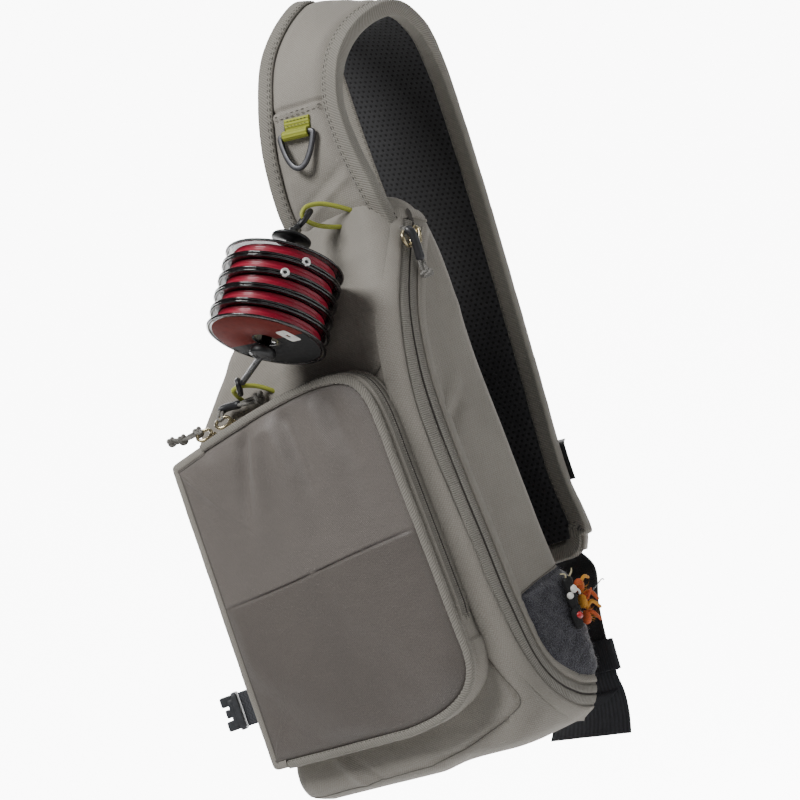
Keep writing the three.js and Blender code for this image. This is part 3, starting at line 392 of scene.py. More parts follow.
class Painter:
    """Builds node materials from finishes, one each."""

    UV = "cloth_mm"
    SHADE = "shade"

    def __init__(self) -> None:
        """Starts with no material made."""
        self.made: dict[str, bpy.types.Material] = {}
        self.tree: bpy.types.NodeTree

    def material(self, finish: Finish) -> bpy.types.Material:
        """The material for a finish, made on first use."""
        if finish.name not in self.made:
            self.made[finish.name] = self._build(finish)
        return self.made[finish.name]

    def _node(self, kind: str, **values: object) -> bpy.types.Node:
        """A new node with its settings."""
        node = self.tree.nodes.new(kind)
        for name, value in values.items():
            setattr(node, name, value)
        return node

    def _feed(self, socket: Socket, value: object) -> None:
        """Links an output to a socket, or sets its value."""
        if isinstance(value, Socket):
            self.tree.links.new(value, socket)
        else:
            socket.default_value = value

    def _math(self, operation: str, *values: object) -> Socket:
        """The result of a sum on outputs and numbers."""
        node = self._node("ShaderNodeMath", operation=operation)
        for socket, value in zip(node.inputs, values):
            self._feed(socket, value)
        return node.outputs[0]

    def _sum(self, *values: object) -> Socket:
        """Two values added."""
        return self._math("ADD", *values)

    def _product(self, *values: object) -> Socket:
        """Two values multiplied."""
        return self._math("MULTIPLY", *values)

    def _wave(self, across: float, along: float, pitch: float) -> Socket:
        """Even stripes, 0 to 1, across a direction of the cloth's own map."""
        dot = self._node("ShaderNodeVectorMath", operation="DOT_PRODUCT")
        self._feed(dot.inputs[0], self.map)
        dot.inputs[1].default_value = (across * 2 * math.pi / pitch, along * 2 * math.pi / pitch, 0)
        return self._math("MULTIPLY_ADD", self._math("SINE", dot.outputs["Value"]), 0.5, 0.5)

    def _noise(self, vector: Socket, scale: float, detail: float = 2.0) -> Socket:
        """Soft noise, 0 to 1, at a scale and with some finer detail."""
        node = self._node("ShaderNodeTexNoise")
        self._feed(node.inputs["Vector"], vector)
        node.inputs["Scale"].default_value = scale
        node.inputs["Detail"].default_value = detail
        return node.outputs["Fac"]

    def _range(self, value: Socket, low: float, high: float) -> Socket:
        """A value stretched so that low becomes 0 and high becomes 1."""
        node = self._node("ShaderNodeMapRange")
        self._feed(node.inputs["Value"], value)
        node.inputs["From Min"].default_value = low
        node.inputs["From Max"].default_value = high
        return node.outputs["Result"]

    def _mix(
        self, share: object, first: object, second: object, blend: str = "MIX",
    ) -> Socket:
        """Two colours mixed by a share."""
        node = self._node("ShaderNodeMixRGB", blend_type=blend)
        for name, value in (("Fac", share), ("Color1", first), ("Color2", second)):
            self._feed(node.inputs[name], value)
        return node.outputs["Color"]

    def _height(self, finish: Finish) -> Socket:
        """The pattern's relief, 0 to 1."""
        pitch = finish.pitch
        cos, sin = math.cos(finish.slant), math.sin(finish.slant)
        fine = self._noise(self.map, 1.0 / max(pitch, 0.4), 2.0)
        if finish.pattern is Pattern.PLAIN:
            weave = self._product(self._wave(cos, sin, pitch), self._wave(-sin, cos, pitch))
            return self._math("MULTIPLY_ADD", fine, 0.6, self._product(weave, 0.8))
        if finish.pattern is Pattern.RIBBED:
            ribs = self._math("POWER", self._wave(cos, sin, pitch), 0.7)
            return self._math("MULTIPLY_ADD", fine, 0.3, ribs)
        if finish.pattern is Pattern.AIR_MESH:
            lattice = self._sum(self._wave(1.0, 0.0, pitch), self._wave(-0.5, 0.866, pitch))
            lattice = self._sum(lattice, self._wave(-0.5, -0.866, pitch))
            open_part = self._range(lattice, 1.8, 2.15)
            return self._math("SUBTRACT", self._math("MULTIPLY_ADD", fine, 0.25, 0.8), open_part)
        if finish.pattern is Pattern.FLEECE:
            coarse = self._noise(self.map, 0.55 / pitch, 4.0)
            return self._sum(self._product(fine, 0.6), self._product(coarse, 0.6))
        if finish.pattern is Pattern.TWILL:
            side = self._math("GREATER_THAN", self._wave(0.0, 1.0, 4.2), 0.5)
            right = self._product(self._wave(0.8, 0.6, pitch), side)
            left = self._product(self._wave(0.8, -0.6, pitch), self._math("SUBTRACT", 1.0, side))
            return self._sum(right, left)
        if finish.pattern is Pattern.BRAID:
            return self._math("MAXIMUM", self._wave(0.8, 0.7, pitch), self._wave(0.8, -0.7, pitch))
        if finish.pattern is Pattern.WOUND:
            return self._math("MULTIPLY_ADD", fine, 0.5, self._wave(0.05, 1.0, pitch))
        return self._noise(self.space, 900.0, 3.0)

    def _color(self, finish: Finish, height: Socket) -> Socket:
        """Base colour: pattern, speckle, broad mottling, then painted shade where the piece's shade
        attribute says.
        """
        first, second = linear(finish.color), linear(finish.second)
        if finish.pattern is Pattern.SMOOTH:
            share = self._range(self._noise(self.space, 260.0, 4.0), 0.35, 0.7)
            color = self._mix(self._product(share, finish.speckle), first, second)
        elif finish.pattern is Pattern.AIR_MESH:
            color = self._mix(self._range(height, 0.0, 0.75), second, first)
        elif finish.pattern is Pattern.FLEECE:
            fleck = self._range(self._noise(self.map, 1.3 / finish.pitch, 3.0), 0.42, 0.62)
            color = self._mix(fleck, second, first)
        else:
            fleck = self._range(self._noise(self.map, 1.1, 2.0), 0.3, 0.7)
            share = self._product(self._math("SUBTRACT", 1.0, height), 0.55)
            share = self._math("MULTIPLY_ADD", fleck, 0.45 * finish.speckle, share)
            color = self._mix(self._math("MINIMUM", share, 1.0), first, second)
        broad = self._range(self._noise(self.space, 16.0, 3.0), 0.35, 0.65)
        color = self._mix(self._product(broad, finish.mottle), color, second)
        shade = self._node("ShaderNodeAttribute", attribute_name=self.SHADE).outputs["Fac"]
        # painted shade: the colour is darkened towards a warm grey as far as the shade attribute says
        shaded = self._mix(1.0, color, (0.52, 0.5, 0.48, 1.0), "MULTIPLY")
        return self._mix(self._product(shade, finish.shade_strength * 2.0), color, shaded)

    def _build(self, finish: Finish) -> bpy.types.Material:
        """Builds the node tree: colour, gloss and relief from the same pattern."""
        material = bpy.data.materials.new(finish.name)
        material.use_nodes = True
        self.tree = material.node_tree
        shader = self.tree.nodes["Principled BSDF"]
        self.map = self._node("ShaderNodeUVMap", uv_map=self.UV).outputs["UV"]
        self.space = self._node("ShaderNodeTexCoord").outputs["Object"]
        height = self._height(finish)
        self._feed(shader.inputs["Base Color"], self._color(finish, height))
        grain = self._noise(self.space, 420.0, 2.0)
        rough = self._math("MULTIPLY_ADD", grain, 0.16, finish.roughness - 0.08)
        self._feed(shader.inputs["Roughness"], self._math("MINIMUM", rough, 1.0))
        relief = self._node("ShaderNodeBump")
        for node, values in (
            (shader, (
                ("Metallic", finish.metallic), ("Sheen Weight", finish.sheen),
                ("Sheen Roughness", 0.45), ("Coat Weight", finish.coat), ("Coat Roughness", 0.12),
                ("Alpha", finish.alpha),
            )),
            (relief, (("Strength", 0.8), ("Distance", finish.relief * MILLIMETRE))),
        ):
            for name, value in values:
                node.inputs[name].default_value = value
        self._feed(relief.inputs["Height"], height)
        self._feed(shader.inputs["Normal"], relief.outputs["Normal"])
        return material


PAINTER = Painter()


@dataclass
class Cloth:
    """A mesh in the making: grids of points in bag mm, each with its own map, shade and finish."""

    name: str
    points: list[Array] = field(default_factory=list)
    faces: list[Array] = field(default_factory=list)
    maps: list[Array] = field(default_factory=list)
    shades: list[Array] = field(default_factory=list)
    slots: list[Array] = field(default_factory=list)
    finishes: list[Finish] = field(default_factory=list)
    count: int = 0

    def _slot(self, finish: Finish) -> int:
        """The finish's place among the mesh's materials."""
        if finish not in self.finishes:
            self.finishes.append(finish)
        return self.finishes.index(finish)

    def grid(
        self, points: Array, finish: Finish, *, wrap: bool = False, turn: bool = False,
        uv: Array | None = None, shade: Array | float = 0.0,
    ) -> "Cloth":
        """Adds a grid of points.

        Args:
            points: rows by columns by 3, in bag mm.
            finish: its material.
            wrap: whether the last column joins the first.
            turn: whether the faces look the other way.
            uv: rows by columns by 2 in mm, one column more when wrapped, or measured on the grid.
            shade: how much darker the colour is painted, 0 to 1, for each point or for all; where it
                varies it is painted shade in folds, seams and recesses.

        Returns:
            The same mesh, for more.
        """
        rows, columns = points.shape[:2]
        closed = np.concatenate([points, points[:, :1]], 1) if wrap else points
        if uv is None:
            down, over = (
                np.linalg.norm(np.diff(closed, axis=axis), axis=2).mean(1 - axis) for axis in (0, 1)
            )
            uv = table_map(*(np.concatenate([[0], np.cumsum(steps)]) for steps in (down, over)))
        row, column = np.indices((rows - 1, closed.shape[1] - 1)).reshape(2, -1)
        corners = [(row, column), (row + 1, column), (row + 1, column + 1), (row, column + 1)]
        if turn:
            corners = corners[::-1]
        quads = np.stack([r * columns + c % columns for r, c in corners], 1) + self.count
        self.points.append(points.reshape(-1, 3))
        self.faces.append(quads)
        self.maps.append(np.stack([uv[r, c] for r, c in corners], 1))
        self.shades.append(np.broadcast_to(np.asarray(shade, float), (rows, columns)).ravel())
        self.slots.append(np.full(len(quads), self._slot(finish)))
        self.count += rows * columns
        return self

    def tube(
        self, line: Array, radius: Array | float, finish: Finish, sides: int = 14,
        round_ends: bool = True,
    ) -> "Cloth":
        """Adds a round tube along a line, with rounded ends."""
        steps = lengths(line)
        radii = np.broadcast_to(np.asarray(radius, float), (len(line),)).copy()
        if round_ends:
            reach = min(radii[0], steps[-1] / 4)
            ends = np.minimum(steps, steps[-1] - steps)
            radii *= np.sqrt(np.clip(1 - (1 - np.clip(ends / reach, 0, 1)) ** 2, 0.0004, 1))
        side, up = frames_along(line)
        cos, sin = circle(sides)
        ring = cos * side[:, None] + sin * up[:, None]
        girth = max(3, round(TURN * float(radii.max()) / finish.pitch)) * finish.pitch / 0.7
        uv = table_map(steps, np.linspace(0, girth, sides + 1))
        return self.grid(line[:, None] + ring * radii[:, None, None], finish, wrap=True, uv=uv)

    def ball(
        self, centre: Point, radii: Point, finish: Finish, power: float = 1.0,
        frame: Array | None = None, sides: int = 18, rows: int = 12, pole: float = 0.02,
        lumps: float = 0.0,
    ) -> "Cloth":
        """Adds a rounded lump: an ellipsoid, or a box with soft edges where the power is small.

        Args:
            centre: its middle, in bag mm.
            radii: half its size along each side.
            finish: its material.
            power: roundness, from 0.1, sharp, to 1, a plain ellipsoid.
            frame: rows are the directions of its three sides, or the bag's own.
            sides: steps around it.
            rows: steps from end to end.
            pole: how far the first ring is from the end, in radians.
            lumps: how uneven it is, as a share of its size.

        Returns:
            The same mesh, for more.
        """
        lat = np.linspace(pole, math.pi - pole, rows)
        cos, sin = (eased(column[:, 0], power) for column in circle(sides))
        wide, high = eased(np.sin(lat), power)[:, None], eased(np.cos(lat), power)[:, None]
        shape = np.stack([wide * cos, wide * sin, high * np.ones(sides)], 2)
        shape = shape * (1 + lumps * waves(shape * 10, 12, 3, 2))[..., None] * np.array(radii)
        if frame is not None:
            shape = shape @ frame
        return self.grid(np.array(centre, float) + shape, finish, wrap=True, turn=True)

    def block(self, centre: Array, frame: Array, half: Point, finish: Finish) -> "Cloth":
        """Adds a box with well rounded edges, its sides along the frame's rows."""
        return self.ball(centre, half, finish, 0.3, frame, 28, 15, 0.01)

    def lid(self, ring: Array, finish: Finish, turn: bool, share: float = 0.05) -> "Cloth":
        """Closes a ring of points with faces drawn in to its middle."""
        middle = ring.mean(0)
        inner = middle + (ring - middle) * share
        return self.grid(np.stack([ring, inner]), finish, wrap=True, turn=turn)

    def lathe(
        self, profile: Array, centre: Array, axis: Array, finish: Finish,
        sides: int = 72,
    ) -> "Cloth":
        """Adds a closed or open profile of radius and height turned about an axis."""
        side, up = square_to(axis)
        cos, sin = circle(sides)
        ring = cos * side + sin * up
        rows = ring[:, None] * profile[None, :, :1] + unit(axis) * profile[None, :, 1:]
        rows = np.concatenate([rows, rows[:1]]) + centre
        steps = np.linspace(0, TURN * float(profile[:, 0].max()), sides + 1)
        return self.grid(rows, finish, uv=table_map(steps, lengths(profile)))

    def finished(self, *replaced: str, body: str = BAG) -> bpy.types.Object:
        """Makes the Blender object, seated on its body.

        Args:
            replaced: CAD nodes that it stands for.
            body: the CAD body that it moves with.

        Returns:
            The new object.
        """
        mesh = bpy.data.meshes.new(self.name)
        points = to_row(np.concatenate(self.points)).astype(np.float32)
        faces = np.concatenate(self.faces).astype(np.int32)
        mesh.vertices.add(len(points))
        mesh.vertices.foreach_set("co", points.ravel())
        mesh.loops.add(faces.size)
        mesh.loops.foreach_set("vertex_index", faces.ravel())
        mesh.polygons.add(len(faces))
        for name, values in (
            ("loop_start", np.arange(0, faces.size, 4, dtype=np.int32)),
            ("material_index", np.concatenate(self.slots).astype(np.int32)),
            ("use_smooth", np.full(len(faces), True)),
        ):
            mesh.polygons.foreach_set(name, values)
        mesh.update(calc_edges=True)
        layer = mesh.uv_layers.new(name=Painter.UV)
        layer.data.foreach_set("uv", np.concatenate(self.maps).astype(np.float32).ravel())
        shade = mesh.attributes.new(Painter.SHADE, "FLOAT", "POINT")
        shade.data.foreach_set("value", np.concatenate(self.shades).astype(np.float32))
        for finish in self.finishes:
            mesh.materials.append(PAINTER.material(finish))
        self._weld(mesh)
        piece = linked(self.name, mesh)
        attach(piece, body)
        if replaced:
            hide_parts(*replaced)
        LOG.info("made %s", self.name)
        return piece

    @staticmethod
    def _weld(mesh: bpy.types.Mesh) -> None:
        """Joins the edges where grids meet, and drops faces with no area."""
        work = bmesh.new()
        work.from_mesh(mesh)
        bmesh.ops.remove_doubles(work, verts=work.verts, dist=2e-6)
        work.to_mesh(mesh)
        work.free()


def linked(name: str, data: Any) -> bpy.types.Object:
    """A new object in the scene."""
    piece = bpy.data.objects.new(name, data)
    bpy.context.scene.collection.objects.link(piece)
    return piece


def square_to(axis: Array) -> tuple[Array, Array]:
    """Two directions square to an axis and to each other."""
    axis = unit(axis)
    helper = np.array([0.0, 0.0, 1.0]) if abs(axis[2]) < 0.9 else np.array([1.0, 0.0, 0.0])
    side = unit(np.cross(helper, axis))
    return side, np.cross(axis, side)


def frames_along(line: Array) -> tuple[Array, Array]:
    """Directions across a line that turn as little as they can."""
    along = unit(np.gradient(line, axis=0))
    side = np.zeros_like(line)
    side[0] = square_to(along[0])[0]
    for row in range(1, len(line)):
        side[row] = unit(side[row - 1] - along[row] * (side[row - 1] @ along[row]))
    return side, np.cross(along, side)


class BodyForm:
    """The bag's main body as a smooth surface of height and place around it."""

    RUNS = (26, 22, 118, 62)
    CORNER_STEPS = 11
    HEIGHTS = ((0, 20, 12), (21.5, 318, 205), (319.5, 350, 24))
    CLOSING = (
        (0.0, -1.2, (0.02, 0.25, 0.5, 0.75, 0.93)), (350.0, 2.4, (0.9, 0.7, 0.4, 0.03)),
    )

    def levels(self, z: Array) -> tuple[Array, ...]:
        """Left, right, front, back and corner radius at each height."""
        heights, *columns = BODY_LEVELS.T
        return tuple(monotone(heights, column, z) for column in columns)

    def flare(self, x: Array, y: Array, z: Array) -> Array:
        """How far the right side leans in at a place of the straight-sided form."""
        left, right, front, back, _ = self.levels(z)
        middle = (left + right) / 2
        forward = (back - y) / (back - front)
        return SIDE_FLARE * forward * np.maximum(0, (x - middle) / (right - middle))

    def right_x(self, y: Array, z: Array, grow: Array | float = 0.0) -> Array:
        """The right side's X at a depth and height."""
        y, z = np.asarray(y, float), np.asarray(z, float)
        _, right, front, back, corner = self.levels(z)
        right, front, back, corner = right + grow, front - grow, back + grow, corner + grow
        over = np.maximum(y - (back - corner), 0) + np.maximum(front + corner - y, 0)
        x = right - corner + np.sqrt(np.maximum(corner ** 2 - over ** 2, 0))
        return x - self.flare(x, y, z)

    def right_points(self, spot: Array, lift: Array | float) -> Array:
        """Points off the right side at places of depth and height."""
        x = self.right_x(spot[..., 0], spot[..., 1], lift)
        return np.concatenate([x[..., None], spot], -1)

    def ring(self, z: float, shrink: float = 1.0) -> Array:
        """The outline at a height, drawn in towards its middle by a share."""
        left, right, front, back, corner = (float(value) for value in self.levels(np.array(z)))
        corners = [(right - corner, back - corner), (left + corner, back - corner),
                   (left + corner, front + corner), (right - corner, front + corner)]
        arcs = []
        for turn, (x, y) in enumerate(corners):
            angle = (turn + np.linspace(0, 1, self.CORNER_STEPS)) * math.pi / 2
            arcs.append(np.stack([x + corner * np.cos(angle), y + corner * np.sin(angle)], 1))
        runs = []
        for turn, count in enumerate(self.RUNS):
            start, stop = arcs[turn][-1], arcs[(turn + 1) % 4][0]
            share = np.linspace(0, 1, count)[1:-1, None]
            runs += [arcs[turn], start * (1 - share) + stop * share]
        outline = np.concatenate(runs)
        outline = outline * shrink + outline.mean(0) * (1 - shrink)
        height = np.full(len(outline), z)
        outline[:, 0] -= self.flare(outline[:, 0], outline[:, 1], height)
        return np.column_stack([outline, height])

    def surface(self) -> Array:
        """The closed surface as rows of outlines, from the foot's middle to the top's middle."""
        heights = np.concatenate([np.linspace(*levels) for levels in self.HEIGHTS])
        foot, top = (
            [self.ring(z, share) + [0, 0, bulge * (1 - share)] for share in shares]
            for z, bulge, shares in self.CLOSING
        )
        return np.stack(foot + [self.ring(z) for z in heights] + top)


BODY = BodyForm()


@dataclass(frozen=True)
class Crease:
    """A fold, seam or dimple: a line, how wide it is, how far it stands out, in mm, and how much
    painted shade lies along it.
    """

    line: tuple[tuple[float, ...], ...]
    width: float
    height: float
    # painted shade laid along the crease, 0 to 1
    painted_shade: float = 0.0

    def reach(self, points: Array) -> Array:
        """How strongly each point is on the crease, 0 to 1."""
        return bump_of(line_distance(points, np.array(self.line, float)), self.width)


def creased(points: Array, creases: tuple[Crease, ...]) -> tuple[Array, Array]:
    """Height and painted shade of a set of creases at each point."""
    height, painted_shade = np.zeros(points.shape[:-1]), np.zeros(points.shape[:-1])
    for crease in creases:
        reach = crease.reach(points)
        height += crease.height * reach
        painted_shade += crease.painted_shade * reach
    return height, painted_shade


def normals_of(points: Array) -> Array:
    """Outward directions of a grid of closed rows that rise and run anticlockwise."""
    around = np.roll(points, -1, 1) - np.roll(points, 1, 1)
    return unit(np.cross(around, np.gradient(points, axis=0)))


def swollen(
    points: Array, held: Array, cap: float = 3.2, pressure: float = 3.0,
    frames: int = 20,
) -> Array:
    """How far a closed skin swells between its seams, from a cloth simulation.

    Args:
        points: the skin's grid, in mm, whose columns close.
        held: 0 to 1, how firmly each point is sewn down.
        cap: the most that a point may move, in mm.
        pressure: air pressure inside.
        frames: how long it swells.

    Returns:
        The move of each point along its outward direction, in mm.
    """
    rows, columns = points.shape[:2]
    mesh = bpy.data.meshes.new("swelling")
    index = np.arange(rows * columns).reshape(rows, columns)
    corners = (index[:-1], np.roll(index, -1, 1)[:-1], np.roll(index, -1, 1)[1:], index[1:])
    faces = np.stack(corners, 2).reshape(-1, 4).tolist()
    mesh.from_pydata((points.reshape(-1, 3) * MILLIMETRE).tolist(), [], faces)
    skin = linked("swelling", mesh)
    group = skin.vertex_groups.new(name="sewn")
    for place, weight in enumerate(held.ravel()):
        if weight > 0.02:
            group.add([place], float(weight), "REPLACE")
    cloth = skin.modifiers.new("cloth", "CLOTH")
    cloth.settings.effector_weights.gravity = 0.0
    for name, value in (
        ("quality", 4), ("use_pressure", True), ("uniform_pressure_force", pressure),
        ("vertex_group_mass", "sewn"), ("pin_stiffness", 2.0), ("tension_stiffness", 12),
        ("compression_stiffness", 12), ("bending_stiffness", 0.8),
    ):
        setattr(cloth.settings, name, value)
    cloth.point_cache.frame_start, cloth.point_cache.frame_end = 1, frames
    for frame_number in range(1, frames + 1):
        bpy.context.scene.frame_set(frame_number)
    moved = skin.evaluated_get(bpy.context.evaluated_depsgraph_get()).data
    found = np.empty(len(moved.vertices) * 3, np.float32)
    moved.vertices.foreach_get("co", found)
    bpy.data.objects.remove(skin)
    bpy.context.scene.frame_set(1)
    move = found.reshape(points.shape) / MILLIMETRE - points
    return np.clip((move * normals_of(points)).sum(2), -cap, cap)


# Halves of the zips' and their lips' profiles: distance from the middle and height, in mm
SIDE_ZIP = (
    (8.6, 0.9), (7.8, 1.2), (5.7, 1.25), (5.5, 1.7), (4.4, 2.1), (2.0, 2.3), (0.65, 2.05),
    (0.32, 0.7),
)
SIDE_LIP = (
    (6.9, 1.25), (7.0, 1.9), (7.6, 2.35), (8.8, 2.4), (10.4, 1.9), (12.6, 1.0), (14.5, 0.1),
)
POCKET_ZIP = (
    (7.0, 0.35), (6.6, 1.3), (2.6, 1.4), (2.4, 1.7), (1.6, 2.1), (0.5, 1.9), (0.25, 0.6),
)
POCKET_LIP = ((5.4, 1.3), (5.5, 1.9), (6.1, 2.3), (7.0, 2.1), (7.9, 1.2), (8.4, 0.2))


def mirrored(half: tuple[tuple[float, float], ...]) -> list[tuple[float, float]]:
    """A zip's whole profile of places and heights, from its one half, outermost first."""
    return [(-place, height) for place, height in half] + list(half[::-1])


def zip_bands(
    name: str, surface: Array, rows: list[tuple[float, float]], along: Array,
    cuts: tuple[int, int], shade: float,
) -> Cloth:
    """A zip's two tapes, its two ribbed coil bands and the dark slit between them.

    Args:
        name: the piece's name.
        surface: its grid, one column a row of the profile.
        rows: the profile.
        along: distance of each row of the grid along the zip.
        cuts: the columns where the left tape ends and where the slit begins.
        shade: how much darker the colour is painted, 0 to 1.

    Returns:
        The mesh in the making.
    """
    uv = table_map(along, [place for place, _ in rows])
    cloth = Cloth(name)
    tape, slit = cuts
    last = len(rows)
    for low, high, finish in (
        (0, tape + 1, Finishes.TAPE), (tape, slit + 1, Finishes.COIL),
        (slit, last - slit, Finishes.DARK_THREAD), (last - slit - 1, last - tape, Finishes.COIL),
        (last - tape - 1, last, Finishes.TAPE),
    ):
        cloth.grid(surface[:, low:high], finish, uv=uv[:, low:high], shade=shade)
    return cloth


@dataclass
class BodyMaker:
    """Builds the cloth body, its back panel, the side zip, the zip's tab and the fleece patch."""

    cloth_thickness: float = 0.6
    seam_radius: float = 0.32
    fibre_radius: float = 0.11
    fibre_count: int = 2600
    swell_step: int = 3
    tree: BVHTree | None = None

    CREASES = (
        Crease(((89, -56, 260), (82, -63, 252), (68, -67.5, 244), (54, -68, 236)), 1.4, -1.3, 0.8),
        Crease(((86, -60, 247), (70, -66, 239), (60, -68, 230)), 3.5, 0.9),
        Crease(((84, -66, 224), (78, -68, 216), (72, -70, 206)), 4.5, 1.2),
        Crease(((74, -72, 62), (82, -72.3, 46), (88, -70, 27), (76, -74, 19)), 1.2, -1.2, 0.8),
        Crease(((80, -72, 62), (88, -70, 46), (93, -66, 27)), 4.0, 0.8),
        Crease(
            ((76, -74, 19), (62, -73.6, 14.5), (34, -71.7, 7), (-30, -71, 4), (-98, -69, 3)),
            1.4, -1.1, 0.7,
        ),
        Crease(((94, -30, 222), (92.5, -40, 214), (91, -50, 205)), 3.6, 1.7),
        Crease(((93, -34, 208), (91.5, -44, 200), (90.5, -50, 190)), 4.5, -1.2, 0.15),
        Crease(((99, -10, 306), (100, -8, 292), (100, -6, 270)), 7.0, 1.5),
        Crease(((99, -24, 300), (100, -22, 284), (100, -20, 262)), 6.0, -1.2, 0.1),
        Crease(((100, -5, 330), (101, 0, 300), (101, 1, 250)), 5.0, 0.8),
        Crease(((60, -50, 318), (50, -58, 290), (38, -64, 262)), 9.0, 1.2),
        Crease(((36, -52, 312), (24, -60, 284), (8, -66, 258)), 8.0, -1.1, 0.15),
        Crease(((-20, -52, 320), (-50, -58, 292), (-80, -64, 262)), 8.0, 0.8),
        Crease(((86, -60, 190), (88, -62, 130), (90, -64, 70)), 7.0, 1.3),
        Crease(((98, -48, 86), (103, -26, 91), (104, 4, 96)), 1.3, -0.9, 0.6),
        Crease(
            ((-103, -30, 4), (-100, -56, 5), (-94, -68, 5), (-40, -71, 4), (10, -72, 3)), 17.0, 5.0,
        ),
        Crease(((-53, -72, 27), (-43, -72, 17), (-30, -72, 6)), 1.9, -1.1, 0.3),
        Crease(((-62, -72, 26), (-52, -72, 14), (-44, -72, 4)), 3.0, 1.1),
        Crease(((-104, -20, 60), (-105, -30, 140), (-104, -22, 220)), 14.0, 1.4),
    )
    SEAMS = (CREASES[0], CREASES[3], CREASES[5], CREASES[15])

    def held(self, points: Array) -> Array:
        """How firmly the cloth is sewn down: at the zip, the pocket, the strap and the seams."""
        x, y, z = points[..., 0], points[..., 1], points[..., 2]
        zip_line = line_distance(points[..., 1:], ZIP_PATH)
        near_zip = np.where(x > 60, 1 - smooth_step(9.5, 24, zip_line), 0)
        pocket = np.where(y < -45, smooth_step(258, 246, z) * smooth_step(18, 28, z), 0)
        pocket = pocket * smooth_step(POCKET.right + 5, POCKET.right - 4, x)
        back = np.where(y > -2, 1.0, 0.0)
        patch = np.where((x > 90) & (y > -38) & (z < 100) & (z > 14), 1.0, 0.0)
        top, foot = smooth_step(326, 342, z), 1 - smooth_step(0, 12, z)
        return np.clip(np.max([near_zip, pocket, back, top, foot, patch], 0), 0, 1)

    def make_body(self) -> None:
        """The main cloth shell."""
        points = BODY.surface()
        held = self.held(points)
        folds, painted_shade = creased(points, self.CREASES)
        swell = 0.7 * waves(points, 95, 3) + 0.35 * waves(points, 26, 8)
        step = self.swell_step
        puffed = swollen(points[::step, ::step], held[::step, ::step])
        puffed = puffed.repeat(step, 0).repeat(step, 1)[:points.shape[0], :points.shape[1]]
        swell += 0.6 * soften(puffed, 4)
        x, y, z = points[..., 0], points[..., 1], points[..., 2]
        on_pocket = (y < -45) & (x < POCKET.right - 8) & (z > 40) & (z < 238)
        firm = np.where(on_pocket, 0.1, 1.0)
        move = soften(swell * (1 - 0.92 * held), 2) + soften(folds * firm, 1)
        points = points + normals_of(points) * move[..., None]
        cloth = Cloth("body")
        # the shade attribute here is painted shade along the folds and seams
        cloth.grid(points, Finishes.CLOTH, wrap=True, shade=np.clip(painted_shade, 0, 1), turn=True)
        body = cloth.finished("body_shell")
        self.tree = BVHTree.FromObject(body, bpy.context.evaluated_depsgraph_get())

    def make_seams(self) -> None:
        """The dark sunk lines of the body's seams, laid on the cloth."""
        cloth = Cloth("body_seams")
        for seam in self.SEAMS:
            line = Curve(np.array(seam.line, float)).even(90)
            near = [self.tree.find_nearest(Vector(spot))[0] for spot in to_row(line)]
            found = np.array([tuple(spot) for spot in near]) / MILLIMETRE + SHOULDER_SEAT
            cloth.tube(found, self.seam_radius, Finishes.PIPING, 8)
        cloth.finished()

    def make_zip(self) -> None:
        """The side zip with its dark slit, and the cloth lips beside it."""
        line = resampled(uniform_curve(ZIP_PATH, 900), 300)
        across = beside(np.gradient(line, axis=0))
        rows = mirrored(SIDE_ZIP)
        surface = self.band(line, across, rows)
        cloth = zip_bands("side_zip", surface, rows, lengths(line), (2, 6), 0.12)
        under = self.band(line, across, [(place, 0.1) for place, _ in rows])
        for column, turn in ((0, True), (-1, False)):
            wall = np.stack([surface[:, column], under[:, column]], 1)
            cloth.grid(wall, Finishes.TAPE, turn=turn)
        cloth.finished("main_zip")
        lips = Cloth("side_zip_lips")
        # painted shade: the lips darken towards the zip that they overhang
        shade = np.linspace(0.5, 0, len(SIDE_LIP))[None, :]
        for side in (-1, 1):
            profile = [(side * place, height) for place, height in SIDE_LIP]
            strip = self.band(line, across, profile, 0.5)
            lips.grid(strip, Finishes.CLOTH, turn=side < 0, shade=shade)
        lips.finished()

    @staticmethod
    def band(
        line: Array, across: Array, rows: list[tuple[float, float]], uneven: float = 0.0,
    ) -> Array:
        """Points over the right side beside a line, each row a distance across and a height."""
        result = []
        for place, height in rows:
            spot = line + across * place
            lift = height + uneven * 0.4 * waves(np.column_stack([spot, spot[:, 0]]), 30, 5)
            result.append(BODY.right_points(spot, lift))
        return np.stack(result, 1)

    def make_garage(self) -> None:
        """The cloth tab over the zip's top end, with its turned edge, stitches and notch."""
        outline = np.array([(-28.5, 330.5), (-27.6, 340.5), (-1.6, 333.6), (-4.4, 325.6)], float)
        share = np.linspace(0, 1, 26)[:, None]
        low = outline[0] * (1 - share) + outline[3] * share
        high = outline[1] * (1 - share) + outline[2] * share
        dip = 3.4 * np.sin(share * math.pi) * np.array([0.25, 1.0])
        rows = [
            BODY.right_points(low * (1 - up) + high * up + dip * (1 - up) * 0.6, lift)
            for up, lift in ((0.0, 0.2), (0.0, 1.1), (0.06, 1.6), (0.2, 1.5), (0.5, 1.2),
                             (0.8, 1.2), (0.95, 1.0), (1.0, 0.6), (1.0, -0.4))
        ]
        tab = Cloth("zip_tab").grid(np.stack(rows), Finishes.CLOTH, shade=0.1, turn=True)
        tab.finished("zip_garage")
        runs = []
        for side in (0.05, 0.95):
            near = outline[0] * (1 - side) + outline[3] * side
            far = outline[1] * (1 - side) + outline[2] * side
            spot = near + (far - near) * np.linspace(0.05, 0.95, 12)[:, None]
            runs.append((BODY.right_points(spot, 1.75), (1.0, 0, 0)))
        stitches("zip_tab_stitches", runs, Finishes.DARK_THREAD, 1.9, 1.0)
        notch = BODY.right_points(np.array([-16.5, 331.5]), 1.3)
        Cloth("zip_tab_notch").ball(notch, (0.7, 2.6, 5.2), Finishes.DARK_THREAD).finished()

